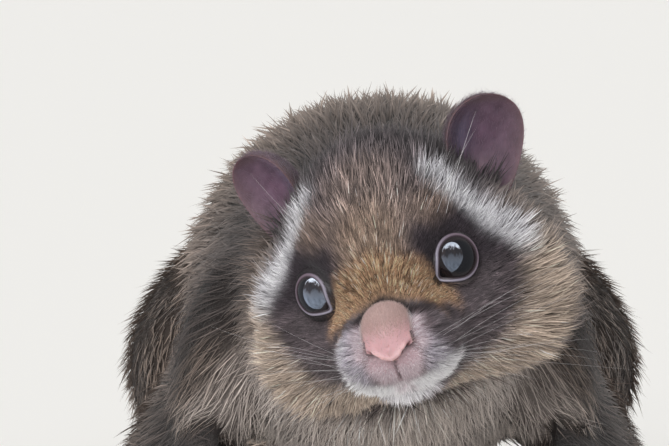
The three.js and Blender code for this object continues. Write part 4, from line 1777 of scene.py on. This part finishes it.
@dataclass
class Ears:
    """Both ears: thin round cups with fine down. Angles are in degrees."""

    head: HeadForm
    height: float = 31.5
    width: float = 12.6
    bend: float = 66
    wall: float = 0.9
    root: Place = (27, 30, 5.5)
    back: float = 12
    lean: Rows = ((22, 32), (22, 37))  # outwards and opened, left and right
    # each ear's colour is dimmed, the left ear more: its extra dimming is painted shadow
    shade: tuple[float, float] = (0.68, 0.82)  # left and right
    # painted light and shade in the cup: lighter and bluish lit patches, and a darker bottom
    cup_light_and_shade: Rows = (
        (0.35, 0.64, 0.42, 0.2, 110, 102, 128, 0.8),
        (-0.25, 0.62, 0.3, 0.16, 132, 98, 122, 0.6),
        (-0.1, 0.3, 0.34, 0.12, 170, 144, 156, 0.85),
        (0.5, 0.24, 0.34, 0.14, 84, 56, 72, 0.8),
    )  # place across and height, their reach, the tone and its strength

    def foot(self, side: int) -> Array:
        """Where an ear stands on the head."""
        return np.array(self.root) * np.array([side, 1, 1])

    def cup(self, start: Array, side: int) -> tuple[Array, dict[str, Array]]:
        """Bends a starting ball into one ear's cup.

        Args:
            start: Points on the ball.
            side: 1 for left, -1 for right.

        Returns:
            Their places in millimetres, and what the colours go by: how far each point lies inside the cup,
            its height, how near the rim it is, its place across, and the painted shade of its fold, darker in
            the notch and lighter on the ridge.
        """
        t, angle = on_ball(start)
        height = (1 - np.cos(math.pi * t)) / 2
        arch = np.where((t <= 1e-9) | (t >= 1 - 1e-9), 0, np.sin(math.pi * t))
        outline = self.width * arch ** (0.62 + 0.38 * height) * (0.62 + 0.52 * height)
        turn = np.radians(self.bend) * (1.25 - 0.35 * height)
        radius = outline / np.sin(turn)
        swing = -turn * np.cos(angle)
        wall = (self.wall + 1.4 * (1 - height) ** 3) * np.minimum(outline / 3, 1)
        across = np.cos(angle) * side
        ridge = np.exp(-(((across - 0.42 + 0.3 * height) / 0.13) ** 2))
        ridge *= np.sin(math.pi * np.clip(height / 0.8, 0, 1))
        notch = np.exp(-(((height - 0.16) / 0.07) ** 2) - ((across + 0.2) / 0.5) ** 2)
        fold = (0.9 * ridge + 0.8 * notch) * (np.sin(angle) < 0) * np.minimum(outline / 4, 1)
        reach = radius + wall * np.sin(angle) - fold
        depth = reach * np.cos(swing) - radius * np.cos(turn)
        cup = np.column_stack([reach * np.sin(swing), depth, self.height * (height - 0.24)])
        out, opened = self.lean[SIDES.index(side)]
        way = turned((0, 1, 0), side * out) @ turned((0, 0, 1), side * opened) @ turned((1, 0, 0), -self.back)
        traits = {
            "inner": ease((0.25 - np.sin(angle)) / 0.5),
            "height": height,
            "rim": np.abs(np.cos(angle)) ** 4,
            "across": across,
            # painted shade in the notch and painted light on the ridge
            "fold": 0.35 * notch - 0.25 * ridge,
        }
        return self.head.to_world(cup @ way.T + self.foot(side)), traits

    def mesh(self, side: int) -> Mesh:
        """Makes and paints one ear's cup.

        Args:
            side: 1 for left, -1 for right.

        Returns:
            A closed mesh.
        """
        found: dict[str, Array] = {}

        def place(start: Array) -> Array:
            """Where each point of a starting ball goes. What the colours go by is kept."""
            spots, traits = self.cup(start, side)
            found.update(traits)
            return spots

        mesh = shaped(ball(72, 48), place, "ear_cup")
        inner, height, rim, across, fold = (values[: len(mesh.vertices)] for values in found.values())
        rim = np.maximum(rim, ease((height - 0.86) / 0.1))
        colour = laid_over(linear((84, 66, 74)), (124, 99, 117), inner)
        for spot_across, spot_high, wide, tall, *tone, strength in self.cup_light_and_shade:
            near = np.exp(-(((across - spot_across) / wide) ** 2) - ((height - spot_high) / tall) ** 2)
            colour = laid_over(colour, tuple(tone), near * strength * inner)
        points = read_points(mesh)
        cloudy = 1 + 0.16 * flutter(points, 6, 35)[:, 0] + 0.1 * flutter(points, 2, 36)[:, 0]
        # painted shade and light of the fold, random clouds, and each ear's dimming, the left ear's deeper
        # dimming painted shadow
        light = (1 - fold * inner) * cloudy * self.shade[SIDES.index(side)]
        paint(mesh, laid_over(colour * light[:, None], (118, 97, 98), 0.6 * rim))
        return mesh

    def down(self, mesh: Mesh, side: int, count: int) -> Strands:
        """Grows fine down, close at the back and along the rim and thin inside the cup.

        Args:
            mesh: The ear's cup.
            side: 1 for left, -1 for right.
            count: How many hairs.

        Returns:
            The hairs.
        """

        def closeness(_: Array, normals: Array) -> Array:
            """How close they stand at places that face one way or the other."""
            return 0.35 + 0.65 * ease(((normals @ self.head.rotation)[:, 1] + 0.3) / 0.6)

        roots, normals = Field.of(mesh, 31 + side).roots(count, closeness)
        down = Down(np.random.default_rng(33 + side), width=0.08, sunk=0.05, lift=0.28, mixed=0.15)
        away = unit(roots - self.head.to_world(self.foot(side)))
        lie = along_skin(away + down.random.normal(0, 0.25, roots.shape), normals)
        on_rim = ease((0.5 - np.abs((normals @ self.head.rotation)[:, 1])) / 0.2)
        length = down.random.uniform(1.1, 2.3, count) * (1 + 0.8 * on_rim)
        tones = (np.tile(Fur.EAR_DOWN.root, (count, 1)), np.tile(Fur.EAR_DOWN.tip, (count, 1)))
        height = self.head.to_head(roots)[:, 2]
        share = (height - height.min()) / np.ptp(height)
        spots = on_map(turn_share(normals[:, 0], -normals[:, 1]), share)
        return down.grow(roots, normals, lie, length, tones, spots)

    def build(self, skin: Material, hair: Material, count: int) -> None:
        """Adds both ears and their down."""
        for name, side in NAMED_SIDES:
            mesh = self.mesh(side)
            add_piece(f"ear_cup_{name}", mesh, skin, (f"ear_{name}",))
            plant(f"ear_down_{name}", self.down(mesh, side, count), hair)


@dataclass
class HeadCoat:
    """The hair of the head: short and fine on the face, longer behind."""

    coat: Coat
    nose: Nose
    eyes: Eyes
    short_hairs: int = 110_000
    long_hairs: int = 30_000
    turning: float = 4.6  # length at which the short hair gives way to the long
    thin_lips: Mark = HEAD_MARKS[-2]  # the marking where the hair of the lips stands further apart

    def bare(self, points: Array) -> Array:
        """Where no hair is rooted: the eyes' openings, the lip's cleft and the nose."""
        place = self.coat.head.to_head(points)
        bare = self.nose.field(place) + 1.5 * self.nose.under_slit(place) < -0.3
        bare |= by_cleft(place) > 0.4
        for side in SIDES:
            past, distance = self.eyes.past_edge(place, side)
            bare |= (distance < 11) & (past < 6)
        return bare

    def closeness(self, short: bool) -> Closeness:
        """Tells how close the short or the long hair of the head stands.

        Args:
            short: Whether it is the short hair.

        Returns:
            A rule for places and the skin's outward directions there.
        """

        def close(points: Array, normals: Array) -> Array:
            """How close the hair stands: closer where it is short and where it is seen."""
            length = self.coat.length(points)
            width = 0.1 + 0.022 * length
            pick = ease((self.turning + 1 - length) / 2)
            if not short:
                pick = 1 - pick
            seen = 0.45 + 0.55 * ease((-normals[:, 1] + 0.35) / 0.5)
            lips = 1 - 0.4 * self.thin_lips.mask(self.coat.head.to_head(points))
            share = self.coat.head_share(points)
            return pick * share**2 * seen / (length * width) * lips * ~self.bare(points)

        return close

    def build(self, ground: Field, hair: Material, share: float) -> None:
        """Grows and adds a share of the hair of the head."""
        fine = Growth(self.coat, levels=2, lock=1.0, seed=42)
        coarse = Growth(self.coat, width=(0.08, 0.018), lock=1.9, pull=0.4, sway=0.12, seed=43)
        kinds = (("face_fur", True, self.short_hairs, fine), ("crown_fur", False, self.long_hairs, coarse))
        for name, short, count, growth in kinds:
            ground.seed += 1
            roots, normals = ground.roots(int(count * share), self.closeness(short))
            plant(name, growth.grow(roots, normals, self.coat.face_map), hair)


@dataclass
class BodyCoat:
    """The coat of neck, body, limbs and membrane, in tufts that are wider further back."""

    coat: Coat
    undercoat: int = 48_000
    tufts: int = 31_000
    rear: float = 336  # no hair of the body is rooted further behind the eyes

    def closeness(self, points: Array, _: Array) -> Array:
        """How close the tufts stand: closest beside the face."""
        behind = self.coat.head.behind(points)
        near = ease((20 - behind) / 120 + 0.5)
        beside_face = 2.6 * ease((75 - behind) / 50)
        held = behind < self.rear
        off_head = (1 - self.coat.head_share(points)) ** 0.5
        return off_head / self.coat.length(points) * (0.5 + 1.2 * near + beside_face) * held

    def build(self, ground: Field, hair: Material, share: float) -> None:
        """Grows and adds the coat: fine hair close to the skin and longer locks over it.

        Args:
            ground: The skin.
            hair: The hair's finish.
            share: The share of the hairs that grow.
        """
        fine = Growth(self.coat, levels=2, width=(0.17, 0.016), lock=2.0, pull=0.4, seed=60)
        coarse = Growth(
            self.coat, width=(0.18, 0.022), lock=2.6, pull=0.4, sway=0.12, bend=8, sunk=0.5, seed=61
        )
        kinds = (("body_underfur", self.undercoat, fine), ("body_fur", self.tufts, coarse))
        for name, count, growth in kinds:
            ground.seed += 1
            roots, normals = ground.roots(int(count * share), self.closeness)
            hairs = growth.grow(roots, normals, self.coat.body_map)
            hairs.widths *= (0.46 + 0.72 * ease((self.coat.head.behind(roots) - 50) / 120))[:, None]
            plant(name, hairs, hair)


@dataclass
class Tail:
    """The long bushy tail, laid in a shallow S on the floor."""

    head: HeadForm
    line: Rows = (
        (0, 286, 44), (-1, 320, 32), (-9, 368, 17), (-26, 426, 14),
        (-36, 484, 14), (-27, 542, 14), (0, 596, 14), (32, 638, 13),
    )
    core: float = 10.5
    fullness: tuple[float, ...] = (0.76, 0.82, 0.94, 1, 1, 1, 0.98, 0.86)
    reach: float = 28
    hair: float = 50
    hairs: int = 11_500
    steps: Rows = ((0, 0), (0.3, 0.42), (0.65, 0.8), (1, 1))  # a hair's run along the tail, and its rise
    above_floor: float = 0.6

    def __post_init__(self) -> None:
        """Puts the tail's line into the part's frame."""
        self.spine = np.array(self.line, float) + self.head.body_shift

    def core_mesh(self) -> Mesh:
        """Makes the slender body of the tail under its hair."""
        girths = [self.core * (1.15 - 0.04 * i) for i in range(len(self.spine))]
        rings = tuple((*spot, girth, girth) for spot, girth in zip(self.spine, girths))
        return shaped(ball(36, 90), Loft(rings, cap=0.06).place, "tail_core")

    def across(self, at: Array) -> tuple[Array, Array, Array]:
        """The ways along the tail, to its side and up from it, at shares of its length."""
        near = np.minimum(at, 0.985)
        way = unit(smooth_line(self.spine, near + 0.012) - smooth_line(self.spine, near - 0.012))
        side = unit(np.cross(way, UPWARDS))
        return way, side, np.cross(side, way)

    def grow(self, count: int) -> Strands:
        """Grows long hair all round the tail, swept back and spreading to its outline.

        Args:
            count: How many hairs.

        Returns:
            The hairs.
        """
        random = np.random.default_rng(71)
        share = (np.arange(count) + random.random(count)) / count * 0.97
        angle = random.uniform(-math.pi, math.pi, count)
        length = self.hair * random.uniform(0.7, 1.1, count) * (0.7 + 0.3 * ease(share / 0.15))
        full = smooth_line(np.array([self.fullness]).T, share)[:, 0]
        stretches = np.diff(smooth_line(self.spine, np.linspace(0, 1, 60)), axis=0)
        total = np.linalg.norm(stretches, axis=1).sum()
        lines = np.empty((count, len(self.steps), 3))
        depth = random.uniform(0.35, 1.0, count)
        for level, (run, rise) in enumerate(self.steps):
            at = share + run * length / total
            over = np.maximum(at - 1, 0) * total
            foot = smooth_line(self.spine, at)
            way, side, lift = self.across(at)
            bent = angle + 0.18 * flutter(foot, 40, 8)[:, 0] * run
            out = side * np.cos(bent)[:, None] + lift * np.sin(bent)[:, None]
            radius = self.core * 0.9 + rise * depth * (self.reach * full - self.core)
            radius = radius * np.where(over > 0, 1 - 0.7 * np.minimum(over / 40, 1), 1)
            lines[:, level] = foot + way * over[:, None] + out * radius[:, None]
        loose = np.array([0, 0.6, 1, 1.6])[None, :, None]
        lines += flutter(lines.reshape(-1, 3), 18, 9).reshape(lines.shape) * loose
        rough = random.uniform(0, 3, (count, 1)) * (lines[:, :, 2] < 3)
        lines[:, :, 2] = np.maximum(lines[:, :, 2], self.above_floor + rough)
        light = np.exp(random.normal(0, Fur.TAIL.mixed, (count, 1)))
        outward = unit(lines[:, 2] - smooth_line(self.spine, share))
        side = np.cross(outward, unit(lines[:, -1] - lines[:, 0]))
        side = unit(side + random.normal(0, 1e-3, (count, 3)))
        wide = random.uniform(0.9, 1.6, count)[:, None] * np.array([0.7, 1.0, 0.75])
        spots = on_map(share, angle / (2 * math.pi) + 0.5)
        root = Fur.TAIL.root * light
        tip = Fur.TAIL.tip * light * (1 - 0.4 * ease((share - 0.7) / 0.3))[:, None]
        return Strands(lines, side, wide, root, tip, spots)

    def build(self, hair: Material, share: float) -> None:
        """Adds the tail's hair."""
        plant("tail_fur", self.grow(int(self.hairs * share)), hair)


@dataclass
class Whiskers:
    """Long tapered bristles beside the nose, over the eyes and on the cheeks."""

    head: HeadForm
    coat: Coat
    rows: int = 5
    columns: int = 6
    levels: int = 8
    thick: float = 0.13

    def starts(self) -> list[tuple[Place, Place, float]]:
        """Sets out the bristles of the left side.

        Returns:
            Where each one starts, which way it goes and how long it is.
        """
        found = []
        for row in range(self.rows):
            for column in range(self.columns):
                back, down = column / (self.columns - 1), row / (self.rows - 1)
                spot = (10.5 + 3.5 * back, -24 + 9 * back, -8.5 - 9 * down - 2 * back)
                way = (1, 0.35 + 0.4 * back, 0.25 - 0.75 * down)
                found.append((spot, way, 24 + 22 * back))
        found += [((13 + 3 * i, 2, 12), (0.5 + 0.2 * i, 0.3, 0.9), 22 + 3 * i) for i in range(3)]
        found += [((30, -2, -14 - 3 * i), (1, 0.3, -0.1 - 0.2 * i), 24) for i in range(2)]
        return found

    def grow(self) -> Strands:
        """Grows all bristles of both sides.

        Returns:
            The bristles.
        """
        random = np.random.default_rng(81)
        starts = [(*start, side) for start in self.starts() for side in SIDES]
        spots, ways, lengths, sides = (np.array(column, float) for column in zip(*starts))
        count = len(starts)
        mirror = np.column_stack([sides, np.ones((count, 2))])
        ways = unit(unit(ways) * mirror + random.normal(0, 0.12, ways.shape))
        length = lengths * random.uniform(0.8, 1.2, count)
        feet = self.head.surface(unit(spots * mirror - np.array(self.head.centre)))
        behind, down = random.uniform(0.1, 0.3, count), random.uniform(-0.3, 0.0, count)
        sag = np.column_stack([np.zeros(count), behind, down])
        run = np.linspace(0, 1, self.levels)[None, :, None]
        bend = (ways[:, None] * run + sag[:, None] * run**2) * length[:, None, None]
        lines = feet[:, None] - ways[:, None] * 1.5 + bend
        lines = self.head.to_world(lines.reshape(-1, 3)).reshape(lines.shape)
        side = unit(np.cross(ways @ self.head.rotation.T, np.array([0.0, 0.3, 1.0])))
        wide = np.tile(np.linspace(1, 0.3, self.levels)[:-1] * self.thick, (count, 1))
        dark = (random.random(count) < 0.55)[:, None]
        root = np.where(dark, linear((38, 32, 34)), linear((170, 164, 166)))
        tip = np.where(dark, linear((120, 112, 112)), linear((236, 232, 232)))
        return Strands(lines, side, wide, root, tip, self.coat.face_map(lines[:, 0]))

    def build(self, hair: Material) -> None:
        """Adds the bristles."""
        plant("whiskers", self.grow(), hair)


@dataclass(frozen=True)
class Foot:
    """The toes of one kind of foot, from the same sizes as its solid."""

    name: str
    heel: Place
    width: float
    length: float
    toes: int
    toe_length: float
    toe_radius: float
    fan: float
    pad_height: float = 0.62
    pad_steps: tuple[float, ...] = (0.62, 0.76, 0.9, 1.04)
    toe_steps: Rows = (
        (-0.4, 1.3, 0.8, 0.8), (-0.05, 1.35, 0.9, 0.9), (0.3, 1.25, 0.82, 0.82),
        (0.6, 1.05, 0.78, 0.78), (0.88, 1.0, 0.86, 0.86), (1.14, 0.95, 0.7, 0.7),
    )
    claw_steps: Rows = (
        (1.0, 1.45, 0.5, 0.55), (1.15, 1.5, 0.46, 0.62), (1.32, 1.2, 0.34, 0.48),
        (1.48, 0.75, 0.2, 0.3), (1.6, 0.34, 0.08, 0.12),
    )

    def along(self, side: int, i: int, shift: Array, steps: Rows, cap: float = 0.12) -> Loft:
        """Lays a smooth body along one toe.

        Args:
            side: 1 for left, -1 for right.
            i: The toe's number from the inner side.
            shift: The way from the body's own frame to the part's.
            steps: Rings: the share of the toe's length, and the height, half width and half height
                in shares of the toe's radius.
            cap: The share of the body that each rounded end takes.

        Returns:
            The body.
        """
        across = i / (self.toes - 1) * 2 - 1
        x = side * (self.heel[0] + 4 + across * self.width * 0.4)
        y = self.heel[1] - self.length * (0.95 - 0.1 * across * across)
        splay = math.radians(side * (6 + across * self.fan))
        knuckle = np.array([x, y, 0.0]) + shift
        way = np.array([math.sin(splay), -math.cos(splay), 0.0]) * self.toe_length * (1 - 0.16 * across**2)
        radius = self.toe_radius
        rings = tuple(
            (*(knuckle + way * share + UPWARDS * radius * high), radius * wide, radius * tall)
            for share, high, wide, tall in steps
        )
        return Loft(rings, cap)

    def digits(self, side: int, shift: Array) -> list[Loft]:
        """The toes, from inside the foot to their rounded ends."""
        return [self.along(side, i, shift, self.toe_steps) for i in range(self.toes)]

    def claws(self, side: int, shift: Array) -> list[Loft]:
        """The curved claws, from inside the toes' ends to their points."""
        return [self.along(side, i, shift, self.claw_steps) for i in range(self.toes)]

    def pads(self, side: int, shift: Array) -> list[Loft]:
        """The bare pads under the toes' ends."""
        high = self.pad_height / self.toe_radius
        steps = tuple((share, high, 0.7, high) for share in self.pad_steps)
        return [self.along(side, i, shift, steps, cap=0.45) for i in range(self.toes)]


FEET = (
    Foot("fore", (44, 70, 8), 19, 18.6, 4, 16.5, 2.7, 17),
    Foot("hind", (55, 266, 8), 22, 48.36, 5, 18.6, 2.9, 18),
)


@dataclass
class Feet:
    """Toes, claws and pads of all four feet."""

    head: HeadForm
    claw_tone: Place = (54, 46, 44)
    pad_tone: Place = (128, 96, 92)

    def joined(self, lofts: list[Loft], detail: tuple[int, int], tone: Place, name: str) -> Mesh:
        """Makes one painted mesh of several small bodies, with a detail round and along each."""
        whole = bmesh.new()
        for loft in lofts:
            take_in(whole, shaped(ball(*detail), loft.place, "one"))
        mesh = finished(whole, name)
        paint(mesh, np.tile(linear(tone), (len(mesh.vertices), 1)))
        return mesh

    def digits(self) -> Mesh:
        """Makes the toes of all four feet as one closed mesh, for the skin to take in."""
        lofts = [loft for foot in FEET for side in SIDES for loft in foot.digits(side, self.head.body_shift)]
        first, *others = (shaped(ball(24, 20), loft.place, "toe") for loft in lofts)
        for other in others:
            first = united(first, other)
        return first

    def build(self, horn: Material, pad: Material) -> None:
        """Adds one piece of claws and one of pads for each foot."""
        shift = self.head.body_shift
        for foot in FEET:
            for name, side in NAMED_SIDES:
                label = f"{foot.name}_{name}"
                claws = self.joined(foot.claws(side, shift), (16, 18), self.claw_tone, f"claws_{label}")
                pads = self.joined(foot.pads(side, shift), (20, 14), self.pad_tone, f"pads_{label}")
                add_piece(f"claws_{label}", claws, horn)
                add_piece(f"pads_{label}", pads, pad)


@dataclass(frozen=True)
class CatchLight:
    """The bright opening that one eye reflects: its way from the eye, its size and how fast it widens."""

    side: int
    way: Place
    size: tuple[float, float]
    widening: float
    radiance: float


@dataclass
class Studio:
    """The camera, the soft lights and the pale floor."""

    head: HeadForm
    distance: float = 2000
    elevation: float = 3
    pixel: float = 0.26
    frame_width: int = 669
    sensor: float = 36
    aim_right: float = -13.78
    aim_up: float = 13.52
    soft_lights: tuple[tuple[str, Place, float, float], ...] = (
        ("front_light", (-0.35, -1.2, 0.3), 2.05, 43),
        ("top_light", (-0.36, -0.43, 0.81), 1.4, 45),
        ("back_light", (0.95, 0.7, 0.7), 0.7, 60),
    )
    catch_bands: tuple[tuple[float, Place], ...] = (
        (0.4, (0.3, 0.36, 0.46)),
        (0.5, (0.24, 0.27, 0.33)),
        (0.56, (0.05, 0.045, 0.05)),
        (0.66, (0.06, 0.05, 0.05)),
        (0.74, (1.5, 1.65, 1.9)),
    )
    catch_lights: tuple[CatchLight, CatchLight] = (
        CatchLight(1, (0.012, -0.07, 0.014), (0.15, 0.31), 0.95, 8.5),
        CatchLight(-1, (-0.05, -0.05, -0.008), (0.21, 0.31), 1.7, 12.0),
    )
    sky: Place = (0.92, 0.96, 1.0)
    sky_strength: float = 0.34
    floor_size: float = 30

    def camera(self) -> None:
        """Sets the camera at the photograph's height and framing."""
        low = math.radians(self.elevation)
        back = np.array([0, -math.cos(low), math.sin(low)])
        up = np.array([0, math.sin(low), math.cos(low)])
        aim = self.head.origin + np.array([self.aim_right, 0, 0]) + up * self.aim_up
        data = bpy.data.cameras.new("camera")
        data.sensor_width = self.sensor
        data.lens = self.sensor * self.distance / (self.pixel * self.frame_width)
        data.clip_start, data.clip_end = 0.05, 100
        camera = bpy.data.objects.new("camera", data)
        camera.location = (aim + back * self.distance) * MM
        camera.rotation_euler = Vector(-back).to_track_quat("-Z", "Y").to_euler()
        bpy.context.scene.collection.objects.link(camera)
        bpy.context.scene.camera = camera

    def lamp(self, data: Light, way: Place) -> Object:
        """Adds a light at the end of a way from the animal, which looks back along it."""
        lamp = bpy.data.objects.new(data.name, data)
        lamp.rotation_euler = Vector([-part for part in way]).to_track_quat("-Z", "Y").to_euler()
        bpy.context.scene.collection.objects.link(lamp)
        return lamp

    def soft_light(self, name: str, way: Place, strength: float, wide: float) -> Object:
        """Adds an even light from far away: its way, its strength and how many degrees wide it looks."""
        data = bpy.data.lights.new(name, "SUN")
        data.energy = strength
        data.angle = math.radians(wide)
        return self.lamp(data, way)

    def catch_light(self, eyeball: Object, light: CatchLight) -> None:
        """Adds the bright opening that only one eye reflects: pale sky with dark twigs in it.

        Args:
            eyeball: The eye.
            light: The opening.
        """
        wide, high = light.size
        data = bpy.data.lights.new(f"catch_light_{light.side}", "AREA")
        data.shape = "ELLIPSE"
        data.size = wide
        data.size_y = high
        data.energy = light.radiance * math.pi * math.pi * wide * high / 4
        lamp = self.lamp(data, light.way)
        lamp.location = self.head.to_world(self.head.eye(light.side)) * MM + np.array(light.way)
        lamp.visible_camera = False
        only = bpy.data.collections.new(f"mirror_{light.side}")
        only.objects.link(eyeball)
        lamp.light_linking.receiver_collection = only
        data.use_nodes = True
        self.twigs(Nodes(data.node_tree), light.widening)

    def twigs(self, nodes: Nodes, widening: float) -> None:
        """Paints a catch light: bands of sky with a ragged dark one, inside sides that widen upwards.

        Args:
            nodes: The light's nodes.
            widening: How fast it widens.
        """
        maths = nodes.maths
        place = nodes.add("ShaderNodeNewGeometry").outputs["Parametric"]
        noise = nodes.add("ShaderNodeTexNoise", Scale=9.0, Detail=6.0)
        split = nodes.add("ShaderNodeSeparateXYZ")
        nodes.join(place, noise.inputs["Vector"])
        nodes.join(place, split.inputs["Vector"])
        across, height, rough = split.outputs["X"], split.outputs["Y"], noise.outputs["Fac"]
        ragged = maths("ADD", height, maths("SUBTRACT", maths("MULTIPLY", rough, 0.3), 0.15))
        bands = nodes.add("ShaderNodeValToRGB")
        steps = bands.color_ramp.elements
        steps[0].position, steps[0].color = 0.0, (0.2, 0.25, 0.32, 1)
        steps[1].position, steps[1].color = 1.0, (1.1, 1.25, 1.5, 1)
        for spot, tone in self.catch_bands:
            steps.new(spot).color = (*tone, 1)
        nodes.join(ragged, bands.inputs["Fac"])
        beside = maths("ABSOLUTE", maths("SUBTRACT", across, 0.5), 0)
        inside = maths("LESS_THAN", beside, maths("MULTIPLY", maths("ADD", height, 0.02), widening))
        mottled = maths("MULTIPLY", inside, maths("ADD", maths("MULTIPLY", rough, 1.6), 0.2))
        emission = nodes.tree.nodes["Emission"]
        nodes.join(bands.outputs["Color"], emission.inputs["Color"])
        nodes.join(mottled, emission.inputs["Strength"])

    def floor(self, finish: Material) -> None:
        """Adds the floor, which nothing mirrors."""
        bm = bmesh.new()
        bmesh.ops.create_grid(bm, x_segments=8, y_segments=8, size=self.floor_size)
        mesh = finished(bm, "floor")
        mesh.materials.append(finish)
        ground = bpy.data.objects.new("floor", mesh)
        ground.visible_glossy = False
        bpy.context.scene.collection.objects.link(ground)

    def build(self, finish: Material, mirrors: list[Object]) -> None:
        """Adds camera, lights, sky and floor.

        Args:
            finish: The floor's finish.
            mirrors: The eyeballs, which only the catch lights and the sky light.
        """
        scene = bpy.context.scene
        scene.view_settings.view_transform = "Standard"
        self.camera()
        spared = bpy.data.collections.new("spared")
        for entry, (light, eyeball) in enumerate(zip(self.catch_lights, mirrors)):
            self.catch_light(eyeball, light)
            spared.objects.link(eyeball)
            spared.collection_objects[entry].light_linking.link_state = "EXCLUDE"
        for entry in self.soft_lights:
            self.soft_light(*entry).light_linking.receiver_collection = spared
        world = bpy.data.worlds.new("studio")
        world.use_nodes = True
        background = world.node_tree.nodes["Background"]
        background.inputs["Color"].default_value = (*self.sky, 1)
        background.inputs["Strength"].default_value = self.sky_strength
        scene.world = world
        self.floor(finish)


def main() -> None:
    """Builds and dresses the animal piece by piece, then the studio round it."""
    logging.basicConfig(level=logging.INFO, format="%(name)s %(message)s")
    share = 1.0
    hair = HAIR.material()
    head = HeadForm()
    coat = Coat(head)
    tail = Tail(head)
    feet = Feet(head)
    skin = Skin(head, coat).build((tail.core_mesh(), feet.digits()), UNDERFUR.material())
    eyes, nose = Eyes(head), Nose(head)
    mirrors = eyes.build(EYE_WET.material(), LID_SKIN.material(), hair, coat, int(2_400 * share))
    nose.build(NOSE_SKIN.material(), hair, int(8_000 * share))
    Ears(head).build(EAR_LEATHER.material(), hair, int(5_000 * share))
    ground = Field.of(skin.data, 11)
    HeadCoat(coat, nose, eyes).build(ground, hair, share)
    BodyCoat(coat).build(ground, hair, share)
    tail.build(hair, share)
    Whiskers(head, coat).build(hair)
    feet.build(CLAW_HORN.material(), PAD_SKIN.material())
    Studio(head).build(FLOOR.material(), mirrors)


if __name__ == "__main__":
    main()
